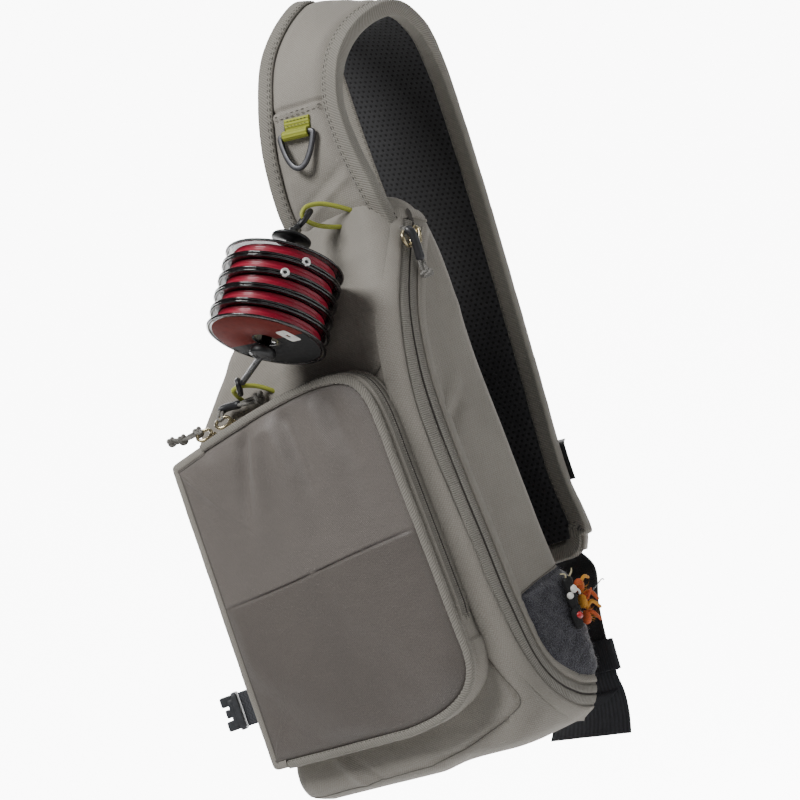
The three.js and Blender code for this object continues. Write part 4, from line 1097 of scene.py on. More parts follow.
    def make_patch(self) -> None:
        """The fleece patch, with a fuzzy edge and a pile of short fibres."""
        rows, columns = 56, 46
        share = np.linspace(0, 1, columns)
        head, heel = (
            Curve(np.array([(y, z, 0) for y, z in line], float)).at(share)[:, :2]
            for line in (((-48.5, 84.5), (-26, 90), (-6, 93), (9.5, 95.5)),
                         ((-45.5, 56), (-36, 38.5), (-21, 26.5), (-6, 21), (9.5, 21.5)))
        )
        up = np.linspace(0, 1, rows)[:, None, None]
        spot = heel[None] * (1 - up) + head[None] * up
        spot[..., 0] -= 1.2 * np.sin(up[..., 0] * math.pi) * (1 - share)[None] ** 2
        rise, over = np.broadcast_arrays(up[..., 0], share[None])
        edge = np.minimum(np.minimum(rise, 1 - rise) * 9, np.minimum(over, 1 - over) * 8)
        ground = np.concatenate([spot, spot[..., :1]], 2)
        lift = 0.4 + 3.4 * smooth_step(0, 1, edge)
        lift = lift + 0.5 * waves(ground, 9, 21) + 0.35 * waves(ground, 3.5, 22)
        points = BODY.right_points(spot, lift)
        Cloth("fleece_patch").grid(points, Finishes.FLEECE, turn=True).finished("fly_patch")
        rng = np.random.default_rng(11)
        count = self.fibre_count
        row, column = rng.integers(0, rows - 1, count), rng.integers(0, columns - 1, count)
        rim = rng.random(count) < 0.45
        rim = rim & (rng.random(count) < 0.5)
        row = np.where(rim, np.where(rng.random(count) < 0.5, 0, rows - 2), row)
        root = points[row, column] + rng.normal(0, 0.6, (count, 3)) * [0.2, 1, 1]
        lean = [rng.uniform(0.5, 1.5, count), rng.normal(0, 0.9, count), rng.normal(0, 0.9, count)]
        tip = root + np.column_stack(lean)
        fibres("fleece_fibres", root, tip, self.fibre_radius, Finishes.FLEECE)

    def make_back(self) -> None:
        """The padded mesh back panel with its sewn channels."""
        rows, columns = 90, 60
        z = np.linspace(22, 300, rows)
        left = np.where(z > 250, -84 + (z - 250) * 0.88, -84.0)[:, None]
        share = np.linspace(0, 1, columns)
        x = left * (1 - share) + 86 * share
        height = np.broadcast_to(z[:, None], x.shape)
        edge = np.minimum(np.minimum(x - left, 86 - x), np.minimum(height - 22, 300 - height))
        lift = 0.4 + 8.4 * (1 - np.exp(-edge / 4.5))
        for channel in (105.0, 205.0):
            lift -= 4.6 * bump_of(height - channel - 8 * np.cos(x / 60), 4.5)
        lift -= 3.6 * bump_of(x + 2, 5.0) * smooth_step(6, 24, edge)
        y = 5.0 + lift * 0.95 + 0.25 * waves(np.stack([x, height, x], 2), 40, 31)
        points = np.stack([x, y - smooth_step(82, 96, np.abs(x)) * 3.0, height], 2)
        cloth = Cloth("back_pad").grid(points, Finishes.MESH, turn=True)
        rim = np.concatenate([points[0], points[1:-1, -1], points[-1, ::-1], points[-2:0:-1, 0]])
        floor = rim * [1, 0, 1] + [0, 3.6, 0]
        cloth.grid(np.stack([rim, floor]), Finishes.BINDING, wrap=True, turn=True)
        cloth.finished("back_panel")


def soften(values: Array, times: int) -> Array:
    """Evens out a grid of values whose columns wrap."""
    for _ in range(times):
        padded = np.vstack([values[:1], values, values[-1:]])
        next_to = np.roll(values, 1, 1) + np.roll(values, -1, 1)
        values = (padded[:-2] + padded[2:] + next_to + 4 * values) / 8
    return values


def uniform_curve(points: Array, count: int) -> Array:
    """A smooth curve through points, evenly timed between them."""
    last = len(points) - 1
    padded = np.vstack([points[0], points, points[-1]])
    place = np.linspace(0, 1, count) * last
    row = np.minimum(place.astype(int), last - 1)
    share = (place - row)[:, None]
    a, b, c, d = (padded[row + offset] for offset in range(4))
    before, after = (c - a) / 2, (d - b) / 2
    return b + share * (before + share * (
        -3 * b + 3 * c - 2 * before - after + share * (2 * b - 2 * c + before + after)))


def stitches(
    name: str, runs: list[tuple[Array, Any]], finish: Finish, length: float = 2.6,
    gap: float = 1.5, radius: float = 0.34,
) -> None:
    """Rows of stitches: each run is a line on the cloth and the direction that faces out.

    Args:
        name: the piece's name.
        runs: lines in bag mm, each with one direction or one a point.
        finish: thread material.
        length: length of a stitch, in mm.
        gap: space between stitches, in mm.
        radius: thread radius, in mm.
    """
    cloth = Cloth(name)
    cos, sin = circle(6)
    uv = table_map(np.linspace(0, 2.6, 5), np.linspace(0, 2.0, 7))
    places = np.array([-0.5, -0.36, 0.0, 0.36, 0.5])
    girth = np.array([0.15, 0.85, 1.0, 0.85, 0.15])
    sink = np.array([-0.75, -0.1, 0.25, -0.1, -0.75])
    for line, facing in runs:
        count = max(2, int(lengths(line)[-1] / (length + gap)))
        ends = resampled(line, 2 * count + 1)
        along = unit(ends[2::2] - ends[:-1:2])
        out = unit(np.broadcast_to(facing, (len(line), 3)))
        out = unit(resampled(np.ascontiguousarray(out), 2 * count + 1)[1::2])
        side = unit(np.cross(along, out))
        for at, way, up, over in zip(ends[1::2], along, out, side):
            core = at + way * (places * length)[:, None] + up * (sink * radius)[:, None]
            ring = cos * over + sin * up * 0.8
            points = core[:, None] + ring[None] * (girth * radius)[:, None, None]
            cloth.grid(points, finish, wrap=True, uv=uv)
    cloth.finished()


def fibres(
    name: str, roots: Array, tips: Array, radius: float, finish: Finish,
) -> None:
    """Short fine fibres as slim three-sided spikes."""
    along = unit(tips - roots)
    side = unit(np.cross(along, np.array([0.31, 0.52, 0.79])))
    up = np.cross(along, side)
    cloth = Cloth(name)
    bend = unit(side + up) * np.linalg.norm(tips - roots, axis=1)[:, None] * 0.18
    rows = []
    for share, girth in ((0.0, 1.0), (0.55, 0.8), (1.0, 0.25)):
        centre = roots * (1 - share) + tips * share + bend * math.sin(share * math.pi)
        rows.append(np.stack([
            centre + (side * math.cos(turn) + up * math.sin(turn)) * radius * girth
            for turn in (0.0, 2.1, 4.2)
        ], 1))
    uv = table_map(np.linspace(0, 2, 3), np.linspace(0, 1, 4))
    for fibre in np.stack(rows, 1):
        cloth.grid(fibre, finish, wrap=True, uv=uv)
    cloth.finished()


def bezier(controls: tuple[tuple[float, float], ...], count: int) -> Array:
    """A Bezier curve of any order: its control points averaged pair by pair."""
    share = np.linspace(0, 1, count)[:, None]
    layers = [np.broadcast_to(np.array(point, float), (count, 2)) for point in controls]
    while len(layers) > 1:
        layers = [a * (1 - share) + b * share for a, b in zip(layers[:-1], layers[1:])]
    return layers[0]


def beside(run: Array) -> Array:
    """The direction to the right of each step of a flat line."""
    run = unit(run)
    return np.column_stack([run[:, 1], -run[:, 0]])


def around(line: Array) -> Array:
    """The steps of a closed line, each across two points."""
    return np.roll(line, -1, 0) - np.roll(line, 1, 0)


def rounded_loop(line: Array, count: int, reach: float) -> Array:
    """A closed line with even points and its corners eased over a distance."""
    closed = np.vstack([line, line[:1]])
    even = resampled(closed, count + 1)[:-1]
    step = lengths(closed)[-1] / count
    shifts = range(-12, 13)
    weights = np.exp(-((np.array(shifts) * step / reach) ** 2))
    total = sum(weight * np.roll(even, shift, 0) for weight, shift in zip(weights, shifts))
    return total / weights.sum()


@dataclass
class PocketForm:
    """The front pocket's outline across and up, and the places of its zip."""

    left: float = -101.5
    right: float = 77.5
    right_top: float = 73.0
    bottom: float = 27.0
    left_top: float = 235.0
    front: float = -86.35
    zip_left: float = -76.0
    zip_bottom: float = 72.0
    zip_depth: float = -77.0
    count: int = 720

    def __post_init__(self) -> None:
        """Works out the rounded outline and the outward direction at each of its points."""
        base = self.bottom
        runs = [
            np.array([(self.left, base), (12, base)], float),
            bezier(((12, base), (52, 29.5), (self.right, 40), (self.right, 66)), 30),
            np.array([(self.right, 66), (self.right_top, 194)], float),
            bezier(((self.right_top, 194), (self.right_top, 230), (70, 245), (44, 248.5)), 30),
            bezier(((44, 248.5), (12, 254.5), (self.left, self.left_top)), 30),
        ]
        self.line = rounded_loop(np.concatenate(runs), self.count, 3.2)
        self.outward = beside(around(self.line))
        self.centre = np.array([-14.0, 138.0])
        self.reach = ((self.line - self.centre) * self.outward).sum(1)

    def stretch(
        self, start: tuple[float, float], stop: tuple[float, float], count: int,
    ) -> Array:
        """Row numbers, with parts, along the outline between the points nearest to two places."""
        first, last = (
            int(np.linalg.norm(self.line - place, axis=1).argmin()) for place in (start, stop)
        )
        return np.linspace(first, last + (self.count if last <= first else 0), count)

    def at(self, places: Array, outward: float, depth: float | None = None) -> Array:
        """Points of the outline at row numbers, moved outwards, with their depth if it is given."""
        low = np.floor(places).astype(int)
        share = (places - low)[:, None]
        low, high = low % self.count, (low + 1) % self.count
        line = self.line[low] * (1 - share) + self.line[high] * share
        way = self.outward[low] * (1 - share) + self.outward[high] * share
        spot = line + unit(way) * outward
        return spot if depth is None else np.insert(spot, 1, depth, axis=1)


POCKET = PocketForm()


@dataclass
class PocketMaker:
    """Builds the front pocket: gusset, zip, binding, panel, seam and stitches."""

    panel_reach: float = 92.0
    panel_thickness: float = 0.5
    zip_sink: float = 3.4
    PANEL_CREASES = (
        Crease(((-62, 150), (-44, 205), (-32, 240)), 6.0, -4.0, 0.05),
        Crease(((-48, 140), (-30, 205), (-18, 242)), 7.0, 4.0),
        Crease(((10, 140), (8, 200), (2, 246)), 6.5, -3.4, 0.05),
        Crease(((-12, 140), (-6, 200), (-12, 246)), 7.0, 3.0),
        Crease(((50, 140), (47, 200), (38, 248)), 7.5, -3.2, 0.05),
        Crease(((30, 140), (30, 200), (24, 250)), 8.5, 2.8),
        Crease(((-84, 140), (-72, 200), (-70, 236)), 9.0, 1.6),
    )
    BROAD_FOLDS = (
        Crease(((-96, 108), (-55, 80), (-30, 40)), 20.0, 1.8),
        Crease(((14, 128), (46, 90), (64, 40)), 19.0, 1.5),
        Crease(((-46, 134), (-10, 100), (10, 44)), 18.0, -1.2),
    )

    def make_gusset(self) -> None:
        """The pocket's side wall, softly bulged, with a seam near the binding."""
        below = (POCKET.line[:, 1] < POCKET.zip_bottom) | (POCKET.line[:, 0] < POCKET.zip_left)
        loose = np.where(below, 1.0, 0.1)
        depths = np.linspace(-60, -86, 30)
        rows = []
        for depth in depths:
            bulge = 1.5 * math.sin(max(0.0, min(1.0, (depth + 64) / -22)) * math.pi)
            seam = -0.9 * math.exp(-(((depth + 83.4) / 0.9) ** 2))
            flat = POCKET.line + POCKET.outward * (bulge * loose + seam)[:, None]
            rows.append(np.insert(flat, 1, depth, axis=1))
        points = np.stack(rows)
        ease = np.sin(np.linspace(0, math.pi, len(depths)))[:, None]
        move = (0.6 * waves(points, 34, 41) + 0.25 * waves(points, 12, 42)) * ease
        points[..., ::2] += move[..., None] * POCKET.outward
        # painted shadow: the wall darkens towards the body, in the groove where it meets it
        shade = np.broadcast_to(smooth_step(-72, -62, depths)[:, None] * 0.5, points.shape[:2])
        cloth = Cloth("pocket_wall").grid(points, Finishes.CLOTH, wrap=True, shade=shade)
        cloth.finished("pocket_gusset")

    def make_zip(self) -> None:
        """The pocket's zip with its dark slit, its lower end sunk, and the lips beside it."""
        places = POCKET.stretch((POCKET.right, POCKET.zip_bottom), (POCKET.zip_left, 238.0), 420)
        along = lengths(POCKET.at(places, 0.0))
        sunk = np.zeros((len(along), 1, 3))
        sunk[:, 0, 0] = self.zip_sink * smooth_step(24, 0, along)

        def strip(profile: list[tuple[float, float]]) -> Array:
            """The profile's rows along the zip, sunk at its lower end."""
            return np.stack([
                POCKET.at(places, lift, POCKET.zip_depth + side) for side, lift in profile
            ], 1) - sunk

        rows = mirrored(POCKET_ZIP)
        band = zip_bands("pocket_zip_band", strip(rows), rows, along, (2, 5), 0.1)
        band.finished("pocket_zip")
        lips = Cloth("pocket_zip_lips")
        for side in (-1, 1):
            profile = [(side * out, lift) for out, lift in POCKET_LIP]
            lips.grid(strip(profile), Finishes.CLOTH, turn=side > 0, shade=0.15)
        lips.finished()

    def make_binding(self) -> None:
        """The ribbed binding on the front edge, and the cloth edge down the left side."""
        section = eased(np.hstack(circle(22)), 0.75)
        cloth = Cloth("pocket_edge_binding")
        places = POCKET.stretch((-88.0, POCKET.bottom), (-71.0, 238.5), 640)
        piping = POCKET.stretch((-70.0, 238.6), (-89.0, POCKET.bottom), 300)
        for route, finish, out, wide, depth, high in (
            (places, Finishes.BINDING, -1.0, 2.75, -2.1, 2.25),
            (piping, Finishes.CLOTH, -2.2, 3.0, -1.3, 2.5),
        ):
            points = np.stack([
                POCKET.at(route, out + wide * a, POCKET.front + depth - high * b)
                for a, b in section
            ], 1)
            points += 0.12 * waves(points, 22, 51)[..., None]
            uv = table_map(lengths(POCKET.at(route, 0.0)), np.linspace(0, 15, len(section) + 1))
            cloth.grid(points, finish, wrap=True, turn=True, uv=uv)
        cloth.tube(POCKET.at(piping, -5.4, POCKET.front - 2.9), 0.75, Finishes.PIPING, 10)
        cloth.finished("pocket_binding")
        line = POCKET.at(places, -3.1, POCKET.front - 3.75)
        runs = [(line, (-0.2, -1.0, 0.0))]
        stitches("pocket_binding_stitches", runs, Finishes.THREAD, 2.2, 1.3, 0.24)

    def make_panel(self) -> None:
        """The crowned front panel with its slanted seam, soft folds and a proud lower half."""
        insets = np.concatenate([
            [2.2, 2.6, 3.0, 3.3, 3.7, 4.2, 5.0, 6.0, 7.2], np.linspace(8.6, self.panel_reach, 66),
        ])[:, None]
        even = smooth_step(8, 46, insets)
        share = (1 - even) * insets / POCKET.reach + even * insets / self.panel_reach
        flat = POCKET.line * (1 - share[..., None]) + POCKET.centre * share[..., None]
        inset = share * POCKET.reach
        rise = 2.6 * (1 - np.exp(-np.maximum(inset - 2.2, 0) / 1.3))
        rise += 4.2 * (1 - np.exp(-np.maximum(inset - 3.6, 0) / 13))
        x, z = flat[..., 0], flat[..., 1]
        seam = z - (139.7 + 0.048 * x + 1.2 * np.sin(x / 38))
        height, painted_shade = creased(flat, self.PANEL_CREASES)
        fade = smooth_step(160, 222, z)
        height = height * fade + creased(flat, self.BROAD_FOLDS)[0]
        spot = np.stack([x, np.zeros_like(x), z], 2)
        height += 0.55 * waves(spot, 60, 61) + 0.2 * waves(spot, 20, 62)
        height += 1.0 * smooth_step(1.2, -0.4, seam) * np.exp(np.minimum(seam, 0) / 26)
        height -= 1.3 * bump_of(seam - 0.7, 0.9)
        rise += height * smooth_step(2.5, 16, inset)
        points = np.stack([x, POCKET.front - rise, z], 2)
        # painted shade: in the folds' valleys, just above the slanted seam, along the edge by the
        # binding, and over the whole lower half
        shade = painted_shade * fade + 0.75 * bump_of(seam - 0.9, 1.1) + 0.5 * bump_of(inset - 3.2, 1.4)
        shade = np.clip(shade + 0.75 * smooth_step(1.0, -1.0, seam), 0, 1)
        uv = np.concatenate([flat, flat[:, :1]], 1)
        cloth = Cloth("pocket_front")
        cloth.grid(points, Finishes.POCKET, wrap=True, uv=uv, shade=shade, turn=True)
        panel = cloth.finished("pocket_panel_upper", "pocket_panel_lower")


@dataclass
class StrapForm:
    """A band between two edge curves, read by distance along it, across it and off it."""

    SINK = np.array([-2.0, 6.0, -9.0])

    right: Array
    left: Array
    steps: int = 900

    def __post_init__(self) -> None:
        """Works out the band's middle line, half widths and directions from its edges."""
        share = np.linspace(0, 1, self.steps)
        near, far = Curve(self.right), Curve(self.left)
        right, left = near.at(share), far.at(share)
        along = unit(near.tangent(share) + far.tangent(share))
        self.centres = (right + left) / 2
        self.halves = np.linalg.norm(right - left, axis=1) / 2
        self.across = unit(right - left)
        self.out = unit(np.cross(self.across, along))
        self.along = along
        self.distance = lengths(self.centres)
        self.length = float(self.distance[-1])
        self.shares = share

    def _read(self, values: Array, distance: Array) -> Array:
        """A table's values at distances along the band."""
        if values.ndim == 1:
            return np.interp(distance, self.distance, values)
        columns = [np.interp(distance, self.distance, column) for column in values.T]
        return np.stack(columns, -1)

    def half(self, distance: Array) -> Array:
        """Half the band's width at a distance along it."""
        return self._read(self.halves, np.asarray(distance, float))

    def outward(self, distance: Array) -> Array:
        """Direction off the band's face."""
        return unit(self._read(self.out, np.asarray(distance, float)))

    def point(
        self, distance: Array, across: Array, lift: Array | float,
    ) -> Array:
        """A point at a distance along, from the middle line, and off the face.

        Args:
            distance: how far along it is; past the band's end the band runs on straight.
            across: how far from the middle line, to the right.
            lift: how far off the face.

        Returns:
            The point in bag mm, or a grid of them.
        """
        distance, across, lift = np.broadcast_arrays(
            *(np.asarray(values, float) for values in (distance, across, lift))
        )
        beyond = distance - np.clip(distance, 0, self.length)
        centre = self._read(self.centres, distance)
        centre = centre + self._read(self.along, distance) * beyond[..., None]
        centre = centre + self.SINK * smooth_step(12, -6, distance)[..., None]
        over = unit(self._read(self.across, distance)) * across[..., None]
        return centre + over + self.outward(distance) * lift[..., None]

    def at_share(self, share: float) -> float:
        """Distance along the band at a share of its rows."""
        return float(np.interp(share, self.shares, self.distance))


STRAP = StrapForm(STRAP_RIGHT, STRAP_LEFT)


@dataclass
class StrapMaker:
    """Builds the shoulder strap: face cloth, mesh lining, bindings, cross seam and stitches."""

    half_pad: float = 3.5
    binding: float = 10.0
    outer: float = 5.1
    end_radius: float = 13.0
    seam_share: float = 0.193
    seam_slant: float = 0.13
    root: float = -6.0

    def make_pad(self) -> None:
        """The grey face: a padded cloth, tighter at its bindings and at the cross seam."""
        distance = np.linspace(self.root, STRAP.length - 1.5, 560)[:, None]
        across = np.linspace(-1, 1, 44)[None, :] * (STRAP.half(distance) - 2.0)
        edge = STRAP.half(distance) - self.binding - np.abs(across)
        seam = distance - STRAP.at_share(self.seam_share) - self.seam_slant * across
        spot = STRAP.point(distance, across, 0)
        lift = self.half_pad - 0.5 + 2.0 * smooth_step(-2.0, 7.5, edge)
        lift = lift - 1.7 * bump_of(seam, 1.0) + 0.9 * bump_of(seam + 3.4, 2.2)
        lift = lift + smooth_step(-2, 6, edge) * (
            0.6 * waves(spot, 46, 71) + 0.25 * waves(spot, 15, 72)
            + 1.1 * bump_of(distance - 16 - 0.45 * across, 3.2)
            - 0.9 * bump_of(distance - 24 - 0.5 * across, 3.4)
        )
        # painted shade in the cross seam's groove and along the edge where the face meets the binding
        shade = np.clip(0.75 * bump_of(seam, 1.3) + 0.35 * bump_of(edge, 2.4), 0, 1)
        top = STRAP.point(distance, across, lift)
        low = STRAP.point(distance, across, -self.half_pad)
        uv = fitted_map(distance, across)
        cloth = Cloth("strap_face").grid(top, Finishes.CLOTH, uv=uv, shade=shade, turn=True)
        cloth.grid(low, Finishes.CLOTH, uv=uv)
        for place, turn in (
            (np.s_[:, 0], False), (np.s_[:, -1], True), (np.s_[0], True), (np.s_[-1], False),
        ):
            cloth.grid(np.stack([low[place], top[place]]), Finishes.CLOTH, turn=turn)
        cloth.finished("strap_pad")

    def make_lining(self) -> None:
        """The black air mesh on the inner side."""
        distance = np.linspace(0, STRAP.length - self.binding - 1, 640)[:, None]
        half = STRAP.half(distance) - self.binding + 1.5
        across = np.linspace(-1, 1, 36)[None, :] * half
        drop = self.half_pad + 0.3 + 2.6 * (1 - np.exp(-(half - np.abs(across)) / 3.0))
        drop = drop + 0.3 * waves(STRAP.point(distance, across, 0), 40, 81)
        points = STRAP.point(distance, across, -drop)
        cloth = Cloth("strap_mesh").grid(points, Finishes.MESH, uv=fitted_map(distance, across))
        cloth.finished("strap_lining")

    def edge_path(self) -> tuple[Array, Array]:
        """The binding's route, distance along and distance across, and its outward directions."""
        radius, last = self.end_radius, STRAP.length
        run = np.linspace(self.root, last - radius, 520)
        turn = np.linspace(0, math.pi / 2, 16)[1:]
        half = float(STRAP.half(last))
        right = np.column_stack([run, STRAP.half(run)])
        middle = [last - radius, half - radius]
        corner = np.column_stack([np.sin(turn), np.cos(turn)]) * radius + middle
        end = np.column_stack([np.full(20, last), np.linspace(half - radius, radius - half, 20)])
        mirror = np.array([1.0, -1.0])
        path = np.concatenate(
            [right, corner, end[1:-1], corner[::-1] * mirror, right[::-1] * mirror]
        )
        return path, -beside(np.gradient(path, axis=0))

    def section(self) -> Array:
        """The binding's section: distance out from the edge, and height off the strap's middle."""
        turn = np.linspace(math.pi / 2, -math.pi / 2, 13)
        around = np.column_stack([0.1 + 1.5 * np.cos(turn), np.sin(turn) * self.outer])
        flange = np.linspace(-self.binding, -0.6, 7)
        top = self.outer + 0.25 * bump_of(flange + 5, 3) - 0.5 * bump_of(flange + 10, 0.8)
        top = np.column_stack([flange, top])
        inner = self.half_pad + 0.35
        start, stop = (-self.binding, inner), (-self.binding, -inner)
        return np.concatenate([[start], top, around, top[::-1] * [1, -1], [stop]])

    def make_binding(self) -> None:
        """Ribbed binding folded over both edges and round the rear end, and all the stitches."""
        path, outward = self.edge_path()
        section = self.section()
        place = path[:, None] + outward[:, None] * section[None, :, :1]
        points = STRAP.point(place[..., 0], place[..., 1], section[:, 1])
        points += (0.12 * waves(points, 18, 91))[..., None] * 0.7
        along = lengths(STRAP.point(path[:, 0], path[:, 1], 0))
        uv = table_map(along, lengths(section))
        # painted shade where the binding's inner flange meets the face
        shade = 0.25 * bump_of(section[:, 0] + self.binding, 1.6)[None, :]
        cloth = Cloth("strap_binding").grid(points, Finishes.BINDING, uv=uv, shade=shade)
        cloth.finished("strap_binding_right", "strap_binding_left")
        runs = []
        for inset, side in ((8.6, 1), (6.9, 1), (8.4, -1)):
            spot = (path - outward * inset)[2:-2]
            line = STRAP.point(spot[:, 0], spot[:, 1], side * (self.outer + 0.12))
            runs.append((line, side * STRAP.outward(spot[:, 0])))
        stitches("strap_stitches", runs, Finishes.THREAD, 2.6, 1.8, 0.3)
        seam = STRAP.at_share(self.seam_share)
        across = np.linspace(-1, 1, 40) * (float(STRAP.half(seam)) - self.binding - 0.5)
        runs = []
        for offset in (-5.8, -3.6):
            spot = seam + offset + self.seam_slant * across
            runs.append((STRAP.point(spot, across, self.half_pad + 2.15), STRAP.outward(spot)))
        stitches("strap_seam_stitches", runs, Finishes.THREAD, 2.4, 1.5, 0.26)


def ribbon(
    name: str, form: StrapForm, thickness: float, finish: Finish, rows: int, seed: int,
    columns: int = 18,
) -> Cloth:
    """A mesh in the making that holds one woven band over the whole of a form."""
    cloth = Cloth(name)
    ribbon_strip(cloth, form, thickness, finish, rows, seed, columns)
    return cloth


def ribbon_strip(
    cloth: Cloth, form: StrapForm, thickness: float, finish: Finish, rows: int, seed: int,
    columns: int = 18, start: float = 0.0, stop: float | None = None, grow: float = 0.0,
    lift: float = 0.0,
) -> None:
    """Adds a flat woven band with rounded selvedges along a form.

    Args:
        cloth: the mesh it goes into.
        form: the band's two edge curves.
        thickness: in mm.
        finish: its material.
        rows: how many steps along it.
        seed: which unevenness.
        columns: how many steps across one face.
        start: where it begins, in mm along the form.
        stop: where it ends, or the form's end.
        grow: how much wider than the form each side is, in mm.
        lift: how far its middle lies off the form, in mm.
    """
    distance = np.linspace(start, form.length if stop is None else stop, rows)[:, None]
    over = np.linspace(-1, 1, columns)
    half = thickness / 2
    side = np.linspace(-math.pi / 2, math.pi / 2, 6)[1:-1]
    groove = 0.12 * bump_of(np.abs(over) - 0.86, 0.04)
    across = np.concatenate([
        over, 1 + 0.03 * np.cos(side[::-1]) - 0.01, over[::-1], -1 - 0.03 * np.cos(side) + 0.01,
    ])
    rise = np.concatenate([
        half - groove, half * np.sin(side[::-1]), -half + groove, half * np.sin(side),
    ])
    place = across[None] * (form.half(distance) + grow)
    points = form.point(distance, place, rise[None] + lift)
    points += (0.25 * waves(points, 24, seed))[..., None] * form.outward(distance)
    uv = fitted_map(distance, np.arange(len(across) + 1)[None] / columns * 25.0)
    cloth.grid(points, finish, wrap=True, uv=uv, turn=True)
    for row, turn in ((0, False), (-1, True)):
        upper = points[row, :columns]
        lower = points[row, columns + 4:2 * columns + 4][::-1]
        cloth.grid(np.stack([upper, (upper + lower) / 2, lower]), finish, turn=turn)


def edges(rows: tuple[tuple[float, ...], ...]) -> StrapForm:
    """A band's form from rows of right and left points."""
    table = np.array(rows, float)
    return StrapForm(table[:, :3], table[:, 3:])


def strap_rows(
    shares: tuple[float, ...], right: float, left: float, lift: float,
) -> list[tuple[float, ...]]:
    """Rows of right and left points on the strap, each a distance in from its right edge."""
    rows = []
    for share in shares:
        distance = STRAP.at_share(share)
        places = float(STRAP.half(distance)) - np.array([right, left])
        rows.append(tuple(STRAP.point(distance, places, lift).ravel()))
    return rows


@dataclass
class WebbingMaker:
    """Builds the lower webbing, its anchor tab, elastic keeper, wing, loop and buckle half."""

    width: float = 25.0
    edge: float = 12.5
    thickness: float = 1.8

    DROP = (
        (90.5, 55.3, 84, 65.5, 52.8, 84), (96, 36, 60, 71, 33, 60), (98.5, 27, 40, 73.5, 24.5, 40),
        (100, 21.5, 17, 75, 15, 17),
    )
    WING = (
        (99.5, 25, 30, 69, 11, 30), (100.5, 21.5, 16.5, 62, 6, 16.5), (102, 20.5, 4, 57, 6, 4),
        (101, 19, -9, 51, 6.5, -6), (98.5, 17, -21, 46, 7, -13),
    )
    WING_SLOPE = 15.5 / 38.5
    LOOP = ((100, 70, 16), (100.5, 69, 10), (95, 68, 4), (86, 67, 0.5), (76, 66, -1.5))
    SIDE = (
        (-88, 6.6, 78, -88, 6.6, 53), (-104, 5, 78, -104, 5, 53), (-130, -9, 78, -130, -9, 53),
        (-166, -31, 77.5, -166, -31, 53.5),
    )
    BUCKLE_AT = (-168.5, -32.5, 65.5)
    BUCKLE_TURN = 0.52
    BUCKLE_BLOCKS = (
        (0, 0, 0, (2.25, 5.6, 13.5)), (-3.4, 0, 0, (2.6, 3.4, 9.6)),
        (-6.8, 0, 8.6, (4.4, 2.2, 3.6)), (-6.8, 0, -8.6, (4.4, 2.2, 3.6)),
        (-6.2, 0, 0, (3.6, 1.7, 3.0)),
        *((1.2, 5.0, level, (1.4, 1.2, 0.9)) for level in (-9.0, -4.5, 0.0, 4.5, 9.0)),
    )

    def make_webbing(self) -> None:
        """Satin webbing sewn on the strap's rear end and running down to the wing."""
        seat = strap_rows((0.85, 0.89, 0.93, 0.97), self.edge, self.edge + self.width, 5.3)
        form = edges((*seat, *self.DROP))
        band = ribbon("lower_webbing", form, self.thickness, Finishes.WEBBING, 150, 101)
        band.finished("strap_webbing")
        top, bottom = (
            form.distance[np.abs(form.centres[:, 2] - level).argmin()] for level in (38, 19)
        )
        keeper = Cloth("elastic_keeper")
        for side in (1, -1):
            ribbon_strip(
                keeper, form, 1.3, Finishes.ELASTIC, 40, 102, start=top, stop=bottom, grow=1.6,
                lift=side * 2.1,
            )
        distance = np.linspace(top, bottom, 24)
        for side in (1, -1):
            line = form.point(distance, side * (form.half(distance) + 1.7), 0.0)
            keeper.tube(line, 2.6, Finishes.ELASTIC, 12, False)
        keeper.finished("webbing_keeper")
        tab = edges(tuple(strap_rows((0.835, 0.845, 0.86, 0.87), -3.5, 10, 6.1)))
        anchor = ribbon("anchor_tab", tab, self.thickness, Finishes.WEBBING, 40, 103)
        anchor.finished("webbing_anchor")
        ends = [(np.full(24, reach), np.linspace(-9, 9, 24)) for reach in (6.0, 30.0)]
        sides = [(np.linspace(6, 30, 24), np.full(24, side)) for side in (-9.0, 9.0)]
        box = [
            (form.point(reach, place, self.thickness / 2 + 0.1), form.outward(reach))
            for reach, place in ends + sides
        ]
        stitches("webbing_box_stitches", box, Finishes.DARK_THREAD, 2.0, 1.2, 0.25)

    def make_wing(self) -> None:
        """The ribbed wing with its slanted lower edge, and the webbing loop in front of it."""
        wing = ribbon("ribbed_wing", edges(self.WING), 1.9, Finishes.ELASTIC, 80, 104, 40)
        wing.finished("webbing_wing")
        rows = []
        for right, left, z in self.LOOP:
            near, far = (
                6 + self.WING_SLOPE * (x - 62) - self.thickness - 1.4 for x in (right, left)
            )
            rows.append((right, near, z, left, far, z))
        form = edges(tuple(rows))
        loop = ribbon("webbing_loop_band", form, self.thickness, Finishes.ELASTIC, 60, 105, 24)
        loop.finished("webbing_loop")

    def make_side(self) -> None:
        """The short heather webbing on the left, with its buckle half."""
        band = ribbon("side_band", edges(self.SIDE), self.thickness, Finishes.HEATHER, 110, 106)
        band.finished("side_webbing")
        cos, sin = math.cos(self.BUCKLE_TURN), math.sin(self.BUCKLE_TURN)
        frame = np.array([[cos, sin, 0], [-sin, cos, 0], [0, 0, 1]])
        buckle = Cloth("side_buckle_half")
        for *offset, half in self.BUCKLE_BLOCKS:
            buckle.block(self.BUCKLE_AT + np.array(offset) @ frame, frame, half, Finishes.DARK)
        buckle.finished("side_buckle")


